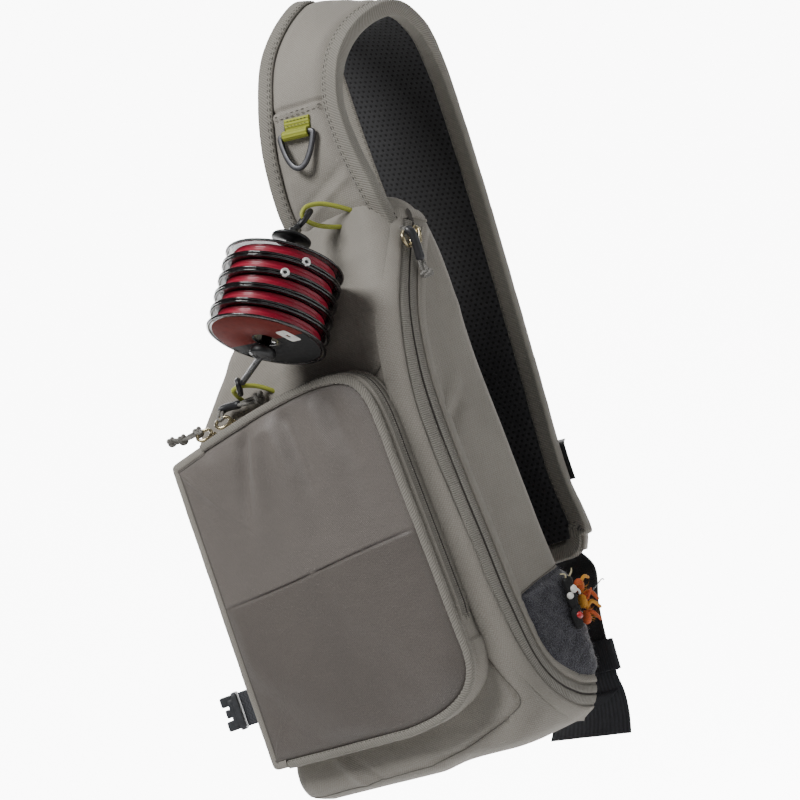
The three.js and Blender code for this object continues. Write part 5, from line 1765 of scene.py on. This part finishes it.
@dataclass
class RingMaker:
    """Builds the ribbed green tab and the flat metal gear ring that swings in it."""

    at: tuple[float, float, float] = (52.0, -45.3, 405.0)
    lean: float = 0.15
    turn: float = 0.11
    tilt: float = 0.19
    width: float = 29.0
    drop: float = 24.0
    wire: float = 3.6
    bar: float = 3.2

    def frame(self) -> Array:
        """Rows are the ring's own across, forward and up directions in the bag."""
        lean, tilt, turn = (
            Matrix.Rotation(angle, 3, axis)
            for angle, axis in ((-self.lean, "X"), (self.tilt, "Y"), (self.turn, "Z"))
        )
        return np.array(lean @ tilt @ turn).T

    def placed(self, points: Array) -> Array:
        """Moves points from the ring's own frame into the bag's."""
        return points @ self.frame() + np.array(self.at)

    def make_ring(self) -> None:
        """A rounded triangle of flat metal with a bar through the tab."""
        wide = self.wire / 2
        half, low = self.width / 2 - wide, self.drop - wide
        left = bezier(((-half, 0.0), (-half, -4.0), (-half * 0.62, -low), (0, -low)), 40)
        loop = rounded_loop(np.concatenate([left, left[::-1][1:] * [-1, 1]]), 160, 1.6)
        outward = beside(around(loop))
        section = eased(np.hstack(circle(20)), 0.55) * [wide, self.bar / 2 * 0.8]
        flat = loop[:, None] + outward[:, None] * section[None, :, :1]
        depth = np.broadcast_to(section[:, 1], flat.shape[:2])
        points = self.placed(np.stack([flat[..., 0], depth, flat[..., 1]], 2))
        points = np.concatenate([points, points[:1]])
        cloth = Cloth("metal_ring").grid(points, Finishes.GUNMETAL, wrap=True)
        cloth.finished("gear_ring", body="gear_ring")

    def make_tab(self) -> None:
        """Green ribbed webbing folded round the bar, its flap sewn flat up the strap."""
        half, outer = 9.5, 3.25
        turn = np.linspace(math.pi / 2, 2.5 * math.pi, 40)[4:37]
        wrap = np.column_stack([outer * np.sin(turn), -outer * np.cos(turn)])
        front = np.array([(1.0, 11.0), (1.15, 8.0), (1.6, 5.0), (2.6, 2.4)])
        back = np.array([(3.3, 3.0), (3.3, 7.0), (3.3, 11.0)])
        line = rounded_loop(np.concatenate([front, wrap, back]), 90, 0.7)
        across = np.linspace(-half, half, 24)
        rows = np.stack([np.insert(line, 0, x, axis=1) for x in across])
        uv = table_map(across, np.linspace(0, lengths(line)[-1], len(line) + 1))[..., ::-1]
        cloth = Cloth("green_tab")
        cloth.grid(self.placed(rows), Finishes.GREEN_TAPE, wrap=True, uv=uv)
        for row, way in ((0, False), (-1, True)):
            cloth.lid(self.placed(rows[row]), Finishes.GREEN_TAPE, way)
        cloth.finished("ring_tab")
        facing = self.frame()[1] * -1
        spots = [np.linspace((-8, 0.75, level), (8, 0.75, level), 20) for level in (6.2, 9.4)]
        runs = [(self.placed(spot), facing) for spot in spots]
        stitches("green_tab_stitches", runs, Finishes.DARK_THREAD, 1.5, 0.9, 0.22)


@dataclass
class StackMaker:
    """Builds the line dock: bar, end pieces, spools with their windings, and the elastic cords."""

    flange: float = 37.5
    web: float = 1.25
    hub: float = 22.0
    line: float = 32.3
    bore: float = 3.4
    width: float = 9.9
    link: tuple[float, float] = (6.9, 4.3)

    LINKS = (
        (49, (48.5, -62.0, 350.0), (-0.25, -0.5, 0.83)),
        (-34.5, (-31.8, -79.8, 267.2), (0.75, 0.62, -0.12)),
    )
    DOCKS = (
        ("upper_dock_cord", "dock_cord_top", (
            (59, -38, 339), (55, -47, 341), (51, -56, 344.5), (48.8, -61.3, 349),
            (48.2, -62.6, 352.5), (50.5, -60, 356.5), (56, -52.5, 356.5), (63, -44.5, 351.5),
            (68, -37, 346),
        )),
        ("lower_dock_cord", "dock_cord_low", (
            (-42, -62.5, 254.5), (-43, -67, 259), (-42.5, -72.5, 264), (-38, -79, 267),
            (-31, -78.8, 267.3), (-24.5, -72.5, 264.5), (-18.5, -67, 259), (-15.5, -62.5, 254.5),
        )),
    )
    SHAFT = (
        (0.02, -36), (7.2, -36), (8.0, -35.2), (8.0, -32), (7.3, -31), (2.9, -30.9), (2.9, 42),
        (11.6, 42), (12.5, 42.5), (12.5, 43.8), (11.8, 44.4), (5.4, 44.5), (5.0, 45.0),
        (4.7, 47.6), (3.9, 48.2), (2.9, 48.3), (2.9, 50.2), (2.1, 51), (0.02, 51),
    )
    EYELET = ((1.1, -0.6), (1.1, 1.0), (1.6, 1.5), (2.6, 1.3), (2.9, 0.5), (2.7, -0.6), (1.1, -0.6))
    EYELET_HOLE = ((0.01, 0.0), (1.15, 0.0), (1.15, -0.4), (0.01, -0.4))
    EYELETS = ((1, "line_eyelet_a", -3.115, -4.0), (2, "line_eyelet_b", 2.871, -4.4))
    LABEL_TURN = 0.35
    LABEL_RINGS = ((9.0, 0.3), (9.2, 0.0), (21.0, -0.02), (33.6, 0.0), (34.0, 0.3))

    def __post_init__(self) -> None:
        """Works out the bar's line and two directions square to it."""
        self.axis = unit(STACK_TOP - STACK_BOTTOM)
        self.centre = (STACK_TOP + STACK_BOTTOM) / 2
        self.side, self.up = square_to(self.axis)

    def on_axis(self, distance: float) -> Array:
        """A point on the bar's line."""
        return self.centre + self.axis * distance

    def spool_at(self, number: int) -> Array:
        """The middle of a spool."""
        return self.on_axis((3 - number) * SPOOL_PITCH)

    def make_spool(self, number: int) -> None:
        """One spool: two clear flanges with dark rims, its hub and its crimson winding."""
        at, body = self.spool_at(number), f"spool_{number}"
        half, inner = self.width / 2, self.width / 2 - self.web
        rim, hub = self.flange, self.hub
        spool = Cloth(f"{body}_shell")
        flange = np.array([
            (rim - 2.0, inner + 0.15), (27.0, inner), (14.0, inner - 0.1), (14.0, half - 0.25),
            (27.0, half - 0.3), (rim - 2.0, half - 0.15),
        ])
        ring = np.array([
            (rim - 2.1, inner - 0.2), (rim - 2.3, half), (rim - 1.0, half + 0.05),
            (rim - 0.1, half - 0.35), (rim, inner + 0.2), (rim - 0.9, inner - 0.35),
            (rim - 2.1, inner - 0.2),
        ])
        for side in (1, -1):
            spool.lathe(flange * [1, side], at, self.axis, Finishes.CLEAR, 120)
            spool.lathe(ring[::-side] * [1, side], at, self.axis, Finishes.RIM, 120)
        low = [(self.bore, 0.1 - half), (hub * 0.7, 0.2 - half), (hub * 0.7, -inner), (hub, -inner)]
        high = [(radius, -height) for radius, height in low[::-1]]
        spool.lathe(np.array(low + high + low[:1]), at, self.axis, Finishes.RIM, 96)
        spool.finished(body, body=body)
        levels = np.linspace(-inner + 0.3, inner - 0.3, 22)
        girth = self.line - 0.25 + 0.28 * np.cos(levels * 2.1) + 0.1 * np.cos(levels * 7.9)
        start, stop = (hub + 0.35, levels[0]), (hub + 0.35, levels[-1])
        profile = np.concatenate([[start], np.column_stack([girth, levels]), [stop], [start]])
        winding = Cloth(f"{body}_winding").lathe(profile, at, self.axis, Finishes.LINE, 140)
        winding.finished(f"spool_line_{number}", body=body)

    def make_label(self) -> None:
        """The bare printed disc on the lowest spool: rust above, dark below, a pale sticker."""
        level = -self.width / 2 - 0.12
        label = Cloth("end_disc_label")
        for start, finish in ((0.0, Finishes.LABEL), (1.0, Finishes.BLACK_FOAM)):
            angle = (np.linspace(start, start + 1, 60) - 0.01) * math.pi + self.LABEL_TURN
            ring = np.cos(angle)[:, None] * self.side + np.sin(angle)[:, None] * self.up
            label.grid(np.stack([
                self.spool_at(SPOOL_COUNT) + self.axis * (level + drop) + ring * radius
                for radius, drop in self.LABEL_RINGS
            ], 1), finish)
        turn = self.LABEL_TURN + 0.98 * math.pi
        way = math.cos(turn) * self.side + math.sin(turn) * self.up
        frame = np.stack([np.cross(self.axis, way), way, self.axis])
        at = self.spool_at(SPOOL_COUNT) + self.axis * (level - 0.2) + way * 22
        label.block(at, frame, (7.2, 4.6, 0.18), Finishes.WHITE_BEAD)
        label.finished(body="spool_5")

    def make_eyelets(self) -> None:
        """Two silver eyelets with dark holes on the rims of the upper spools."""
        for number, name, turn, level in self.EYELETS:
            out = math.cos(turn) * self.side + math.sin(turn) * self.up
            at = self.spool_at(number) + self.axis * level + out * (self.flange - 1.4)
            eyelet = Cloth(name)
            eyelet.lathe(np.array(self.EYELET), at, out, Finishes.SILVER, 28)
            eyelet.lathe(np.array(self.EYELET_HOLE), at, out, Finishes.BLACK, 20)
            eyelet.finished(body=f"spool_{number}")

    def make_bar(self) -> None:
        """The bar with its stopper disc, collar, knob, hook arms and glossy stretched links."""
        bar = Cloth("dock_bar")
        bar.lathe(np.array(self.SHAFT), self.centre, self.axis, Finishes.BLACK, 64)
        for reach in (3.2, 5.2):
            groove = np.array([(reach + 1.0, -36.02), (reach + 0.5, -36.35), (reach, -36.02)])
            bar.lathe(groove, self.centre, self.axis, Finishes.BLACK, 40)
        length, width = self.link
        cos, sin = circle(61, True)
        for distance, at, axis in self.LINKS:
            start, at, axis = self.on_axis(distance), np.array(at), unit(axis)
            run = unit(at - start)
            line = np.linspace(start, at - run * length, 20)
            bar.tube(line, 2.0, Finishes.BLACK)
            long = unit(run - axis * (run @ axis))
            loop = at + length * cos * long + width * sin * np.cross(axis, long)
            bar.tube(loop, 1.85, Finishes.BLACK, 14, False)
        bar.finished("spool_bar")

    def make_docks(self) -> None:
        """The two yellow-green elastic cords, sewn into the body at both ends."""
        for name, node, route in self.DOCKS:
            line = Curve(np.array(route, float)).even(90)
            Cloth(name).tube(line, 1.5, Finishes.GREEN_CORD, 16).finished(node)


@dataclass(frozen=True)
class PullSpec:
    """A cord pull: its ring, how the cord loops round it, where its sleeve, cord and knots lie."""

    name: str
    node: str
    ring_node: str
    ring_at: Point
    ring_axis: Point
    loop_at: Point
    route: tuple[Point, ...]
    sleeve: tuple[float, float] | None
    knots: tuple[tuple[float, float], ...]


@dataclass
class PullMaker:
    """Builds the zip sliders, their gold rings and the flecked cord pulls."""

    ring: float = 5.0
    wire: float = 1.15
    strand: float = 1.25
    twist: float = 1.2
    doubled: float = 3.8
    slider_lean: float = -0.4
    slider_rise: float = 0.137

    PULLS = (
        PullSpec(
            "main_cord_pull", "main_pull", "main_ring", (95.9, -31.6, 316.5), (1, 0.15, 0),
            (0, 0, 1), ((100.6, -31.4, 318.5), (98.6, -28.8, 297.5), (100, -28.8, 290.5)),
            (0.05, 0.72), ((0.97, 5.0),),
        ),
        PullSpec(
            "pocket_cord_pull_a", "pocket_a_pull", "pocket_a_ring", (-69.9, -83.8, 247.0),
            (0.3, -0.6, 0.75), (-0.8, 0.4, 0.3),
            ((-77, -79.8, 250.8), (-93.5, -79.4, 250.3), (-104.5, -80, 252)), None,
            ((0.13, 4.6), (0.62, 4.4), (0.95, 4.0)),
        ),
        PullSpec(
            "pocket_cord_pull_b", "pocket_b_pull", "pocket_b_ring", (-50.9, -83.8, 249.8),
            (0.3, -0.6, 0.75), (-0.6, 0.6, 0.5),
            ((-57, -73.5, 258.8), (-37.6, -73.5, 257.3), (-22.5, -73.5, 256.5)), (0.12, 0.58),
            ((0.96, 5.2),),
        ),
    )

    def make_sliders(self) -> None:
        """The three zip sliders: rounded metal bodies with a raised bridge."""
        cos, sin = math.cos(self.slider_lean), math.sin(self.slider_lean)
        frame = np.array([[1, 0, 0], [0, cos, sin], [0, -sin, cos]])
        self._slider("side_zip_slider", "main_slider", (95.8, -20.6, 318.5), frame)
        cos, sin = math.cos(self.slider_rise), math.sin(self.slider_rise)
        frame = np.array([[-sin, 0, cos], [0, 1, 0], [cos, 0, sin]])
        for letter, at in (("a", (-69, -77, 243.2)), ("b", (-50, -77, 246))):
            self._slider(f"pocket_zip_slider_{letter}", f"pocket_slider_{letter}", at, frame)

    @staticmethod
    def _slider(name: str, node: str, at: Point, frame: Array) -> None:
        """One slider: frame rows are up off the tape, across it and along it."""
        cloth = Cloth(name)
        rows = np.linspace(-5.5, 5.5, 24)
        width = 3.9 - 0.9 * smooth_step(0, 5.5, rows) - 1.2 * smooth_step(4.4, 5.5, np.abs(rows))
        high = 1.05 - 0.35 * smooth_step(4.2, 5.5, np.abs(rows))
        ring = eased(np.hstack(circle(28)), 0.4)
        up = 1.05 + ring[None, :, 1] * high[:, None]
        over = ring[None, :, 0] * width[:, None]
        along = np.broadcast_to(rows[:, None], up.shape)
        points = np.array(at, float) + np.stack([up, over, along], 2) @ frame
        cloth.grid(points, Finishes.GOLD, wrap=True)
        for row, turn in ((0, True), (-1, False)):
            cloth.lid(points[row], Finishes.GOLD, turn, 0.04)
        arch = np.linspace(0, math.pi, 24)
        bridge = np.column_stack([np.sin(arch) * 1.25 + 2.0, 0 * arch, np.cos(arch) * -3.4])
        cloth.tube(at + bridge @ frame, 0.95, Finishes.GOLD, 12)
        cloth.finished(node)

    def make_pull(self, spec: PullSpec) -> None:
        """One ring with its doubled cord, sleeve and knots."""
        at, axis = np.array(spec.ring_at), unit(spec.ring_axis)
        side, up = square_to(axis)
        cos, sin = circle(73, True)
        ring = at + self.ring * (cos * side + sin * up)
        band = Cloth(f"{spec.name}_ring").tube(ring, self.wire, Finishes.GOLD, 14, False)
        band.finished(spec.ring_node)
        out = np.array(spec.loop_at, float)
        out = unit(out - axis * (out @ axis))
        first = at + out * (self.ring + 2.2)
        lead = at + out * (self.ring - 1.2 - self.strand)
        route = Curve(np.vstack([first, np.array(spec.route, float)])).even(90)
        path_side, path_up = frames_along(route)
        total = lengths(route)
        share = total / total[-1]
        cord, loop = Cloth(spec.name), Cloth(f"{spec.name}_loop")
        apart = self.twist * (1 - 0.35 * bump_of(share - 0.3, 0.2))[:, None]
        bend = np.linspace(0, 1, 24)[:, None]
        for sign, begin in ((1, 0.0), (-1, math.pi)):
            spin = (share * 5.0 + begin)[:, None]
            strand = route + apart * (np.cos(spin) * path_side + np.sin(spin) * path_up)
            cord.tube(strand, self.strand, Finishes.PULL_CORD, 12)
            start = strand[0]
            middle = start + sign * 1.2 * np.cross(axis, out) - unit(route[1] - route[0]) * 3.0
            line = lead * (1 - bend) ** 2 + 2 * middle * bend * (1 - bend) + start * bend ** 2
            loop.tube(line, self.strand, Finishes.PULL_CORD, 12)
        piece = cord.finished(spec.node)
        knots = Cloth(f"{spec.name}_knots")
        for place, size in spec.knots:
            middle = route[int(np.clip(place * 89, 0, 89))]
            self._knot(knots, middle, path_side[60], path_up[60], size)
        extras = [loop.finished(), knots.finished()]
        if spec.sleeve:
            keep = (share >= spec.sleeve[0]) & (share <= spec.sleeve[1])
            place = np.linspace(0, 1, 60)
            ends = bump_of(place - 0.04, 0.03) + bump_of(place - 0.96, 0.03)
            swell = 3.0 - 0.25 * np.sin(place * math.pi) + 0.35 * ends
            sleeve = Cloth(f"{spec.name}_sleeve")
            sleeve.tube(resampled(route[keep], 60), swell, Finishes.SLEEVE, 24)
            extras.append(sleeve.finished())

    def _knot(
        self, cord: Cloth, centre: Array, side: Array, up: Array, size: float,
    ) -> None:
        """An overhand knot: a three-lobed closed loop of the cord."""
        angle = np.linspace(0, TURN, 80)[:, None]
        wave = (2 + np.cos(3 * angle)) / 3 * (size - self.strand)
        line = centre + np.cos(2 * angle) * wave * side + np.sin(2 * angle) * wave * up * 0.85
        line = line + np.sin(3 * angle) * 1.1 * np.cross(side, up)
        cord.tube(line, self.strand * 1.1, Finishes.PULL_CORD, 10, False)


@dataclass
class FlyMaker:
    """Builds the two foam flies that are stuck in the fleece patch."""

    body_radius: float = 3.1
    hook_radius: float = 0.42

    BLACK_LINE = ((109.4, -9.8, 86.5), (109.3, -10.6, 80), (109.1, -12, 68), (109.0, -14.3, 53))
    BEADS = (
        ((111.2, -10.2, 77.6), 2.7, Finishes.WHITE_BEAD, 0.0),
        ((110.3, -14.0, 74.4), 2.2, Finishes.WHITE_BEAD, 0.0),
        ((111.3, -13.4, 61.4), 2.4, Finishes.RED_BEAD, 0.0),
        ((110.9, -11.6, 66.0), 1.9, Finishes.BLACK_FOAM, 0.1),
    )
    TIPS = (
        ((109, -9.5, 84), (112, -6.5, 88), (111, -3.5, 90)),
        ((109, -11, 84), (111.5, -14, 88), (110, -17, 89)),
    )
    SEGMENTS = (
        ((108.4, 3.4, 82), (108.6, 0.4, 73.2), 2.9, Finishes.ORANGE),
        ((108.6, 0.4, 72.4), (108.8, -1.6, 63.4), 2.8, Finishes.YELLOW),
        ((108.8, -2, 62.4), (108.9, -3.6, 53.6), 2.7, Finishes.ORANGE),
    )
    LEGS = (
        ((109, 1, 71), (111.2, 7, 72), (112, 13, 65), 1.5, Finishes.ORANGE),
        ((109, -1, 63), (112, 4, 66), (113, 11, 60), 1.4, Finishes.YELLOW),
        ((109, -2, 61), (112.5, 0, 60), (114, 5, 53), 1.3, Finishes.ORANGE),
        ((109, 2, 78), (111, 7, 82), (111, 12, 80), 1.3, Finishes.YELLOW),
        ((109, 0, 68), (112, 1, 69), (114, 6, 74), 0.9, Finishes.ORANGE),
    )
    HOOK = ((109, -1, 66), (111, 8, 71), (110.5, 20, 74), (109.5, 29, 75.6), (109.3, 31, 74.4))
    FEATHER = ((109, -1, 73), (112, -6, 76), (113, -11, 78))

    @staticmethod
    def _line(points: tuple[Point, ...], count: int) -> Array:
        """An even smooth line through a few points."""
        return Curve(np.array(points, float)).even(count)

    @staticmethod
    def _fuzz(
        name: str, seed: int, count: int, root: tuple[tuple[float, float], ...],
        reach: tuple[float, float], lean: tuple[tuple[float, float], ...], radius: float,
        finish: Finish,
    ) -> None:
        """Fine fibres that stand off a fly.

        Args:
            name: the piece's name.
            seed: which draw.
            count: how many fibres.
            root: least and most of each coordinate of the roots.
            reach: least and most length outwards.
            lean: middle and spread of the lean forwards and up.
            radius: thickness, in mm.
            finish: their material.
        """
        rng = np.random.default_rng(seed)
        roots = np.column_stack([rng.uniform(low, high, count) for low, high in root])
        tips = [rng.uniform(*reach, count)] + [rng.normal(*way, count) for way in lean]
        fibres(name, roots, roots + np.column_stack(tips), radius, finish)

    def make_black(self) -> None:
        """The black foam fly: a bound body with pale tips, a pair of pale beads and a red bead."""
        fly = Cloth("black_foam_fly")
        share = np.linspace(0, 1, 70)
        bound = bump_of(share - 0.33, 0.035) + bump_of(share - 0.62, 0.035)
        girth = self.body_radius + 0.35 * np.sin(share * 19) - 0.9 * bound
        fly.tube(self._line(self.BLACK_LINE, 70), girth, Finishes.BLACK_FOAM, 20)
        for centre, radius, finish, lumps in self.BEADS:
            fly.ball(centre, (radius, radius, radius), finish, lumps=lumps)
        for tip in self.TIPS:
            fly.tube(self._line(tip, 20), np.linspace(0.7, 0.35, 20), Finishes.PALE_FOAM, 8)
        fly.finished("black_fly")
        self._fuzz(
            "black_fly_fibres", 5, 90, ((108.5, 110), (-14, -9), (56, 84)), (1.5, 3.5),
            ((0, 3.2), (0, 2.6)), 0.1, Finishes.BLACK_FOAM,
        )

    def make_orange(self) -> None:
        """The orange fly: three bound foam segments, paired legs, a pale wing and a hook."""
        fly = Cloth("orange_foam_fly")
        girth = 1 - 0.12 * np.cos(np.linspace(0, 1, 36) * TURN)
        for start, stop, size, finish in self.SEGMENTS:
            fly.tube(np.linspace(start, stop, 36), size * girth, finish, 18)
        for *leg, size, finish in self.LEGS:
            fly.tube(self._line(leg, 30), size * np.linspace(1.0, 0.7, 30), finish, 12)
        fly.finished("orange_fly")
        hook = Cloth("fly_hook")
        hook.tube(self._line(self.HOOK, 60), self.hook_radius, Finishes.BLACK, 10)
        feather = self._line(self.FEATHER, 24)
        hook.tube(feather, np.linspace(1.0, 0.35, 24), Finishes.WHITE_BEAD, 8)
        hook.finished()
        self._fuzz(
            "orange_fly_fibres", 6, 110, ((108.5, 110), (-3, 3), (56, 80)), (1.0, 3.5),
            ((2, 3.5), (0, 3.0)), 0.12, Finishes.YELLOW,
        )


@dataclass
class Studio:
    """The camera at the photograph's angle, soft lights, and a pale floor and backdrop."""

    azimuth: float = 36.0
    elevation: float = -3.9
    roll: float = 19.3
    distance: float = 1126.6
    target: tuple[float, float, float] = (63.2, -50.0, 223.1)
    lens: float = 81.65

    def axes(self) -> tuple[Array, Array, Array]:
        """The camera's right, up and backward directions in the bag's frame."""
        turn, rise, roll = np.radians([self.azimuth, self.elevation, self.roll]).tolist()
        level = math.cos(rise)
        back = np.array([math.sin(turn) * level, -math.cos(turn) * level, math.sin(rise)])
        right = np.array([math.cos(turn), math.sin(turn), 0.0])
        up = np.cross(back, right)
        across = math.cos(roll) * right - math.sin(roll) * up
        return across, math.sin(roll) * right + math.cos(roll) * up, back

    def make_camera(self) -> None:
        """Places the camera and makes it the scene's."""
        right, up, back = self.axes()
        data = bpy.data.cameras.new("camera")
        data.lens = self.lens
        data.sensor_width = 36.0
        data.clip_start, data.clip_end = 0.05, 30.0
        camera = linked("camera", data)
        spot = to_row(np.array(self.target) + back * self.distance)
        turn = Matrix((right.tolist(), up.tolist(), back.tolist())).transposed()
        camera.matrix_world = Matrix.Translation(Vector(spot)) @ turn.to_4x4()
        bpy.context.scene.camera = camera

    def make_lights(self) -> None:
        """Large soft area lights: a key from the upper left, a fill from the right, one above."""
        right, up, back = self.axes()
        middle = to_row(np.array([10.0, -40.0, 200.0]))
        for name, way, size, power in (
            ("key", -1.12 * right + 0.95 * up + 0.66 * back, 0.55, 26.0),
            ("fill", 1.2 * right + 0.5 * up + 0.6 * back, 0.9, 4.0),
            ("top", 0.25 * right + 1.3 * up - 0.1 * back, 0.8, 4.0),
        ):
            data = bpy.data.lights.new(name, "AREA")
            data.size = size
            data.energy = power
            light = linked(name, data)
            light.location = Vector(middle + unit(way) * 1.5)
            light.rotation_euler = Vector(way).to_track_quat("Z", "Y").to_euler()
        world = bpy.data.worlds.new("studio_air")
        world.use_nodes = True
        air = world.node_tree.nodes["Background"]
        air.inputs["Color"].default_value = (0.96, 0.97, 1.0, 1.0)
        air.inputs["Strength"].default_value = 0.1
        bpy.context.scene.world = world

    def make_stage(self) -> None:
        """A plain pale floor below the bag, and a backdrop far behind it."""
        right, up, back = self.axes()
        foot = to_row(np.array([0.0, -30.0, -900.0]))
        wall_at = to_row(np.array(self.target)) - back * 3.2
        square = ((-1, -1), (1, -1), (1, 1), (-1, 1))
        ground = np.array([foot + [4 * x, 4 * y, 0] for x, y in square])
        screen = np.array([wall_at + right * 2 * x + up * 2 * y for x, y in square])
        self._sheet("floor", ground, 0.2)
        self._sheet("backdrop", screen, 9.0)

    @staticmethod
    def _sheet(name: str, corners: Array, glow: float) -> bpy.types.Object:
        """A plain pale rectangle, with some light of its own."""
        mesh = bpy.data.meshes.new(name)
        mesh.from_pydata(corners.tolist(), [], [(0, 1, 2, 3)])
        material = bpy.data.materials.new(name)
        material.use_nodes = True
        shader = material.node_tree.nodes["Principled BSDF"]
        for name_of, value in (
            ("Base Color", (0.88, 0.88, 0.88, 1.0)), ("Roughness", 0.9),
            ("Emission Color", (1.0, 1.0, 1.0, 1.0)), ("Emission Strength", glow),
        ):
            shader.inputs[name_of].default_value = value
        mesh.materials.append(material)
        return linked(name, mesh)


def main() -> None:
    """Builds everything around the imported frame."""
    logging.basicConfig(level=logging.INFO, format="%(message)s")
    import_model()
    studio = Studio()
    studio.make_camera()
    pulls, body, pocket, strap = PullMaker(), BodyMaker(), PocketMaker(), StrapMaker()
    webbing, ring, stack, flies = WebbingMaker(), RingMaker(), StackMaker(), FlyMaker()
    for spec in pulls.PULLS:
        pulls.make_pull(spec)
    for step in (
        pulls.make_sliders, body.make_body, body.make_seams, body.make_zip, body.make_garage,
        body.make_patch, body.make_back, pocket.make_gusset, pocket.make_zip, pocket.make_binding,
        pocket.make_panel, strap.make_pad, strap.make_lining, strap.make_binding,
        webbing.make_webbing, webbing.make_wing, webbing.make_side, ring.make_ring, ring.make_tab,
    ):
        step()
    for number in range(1, SPOOL_COUNT + 1):
        stack.make_spool(number)
    for step in (
        stack.make_label, stack.make_eyelets, stack.make_bar, stack.make_docks, flies.make_black,
        flies.make_orange, studio.make_lights, studio.make_stage,
    ):
        step()


if __name__ == "__main__":
    main()
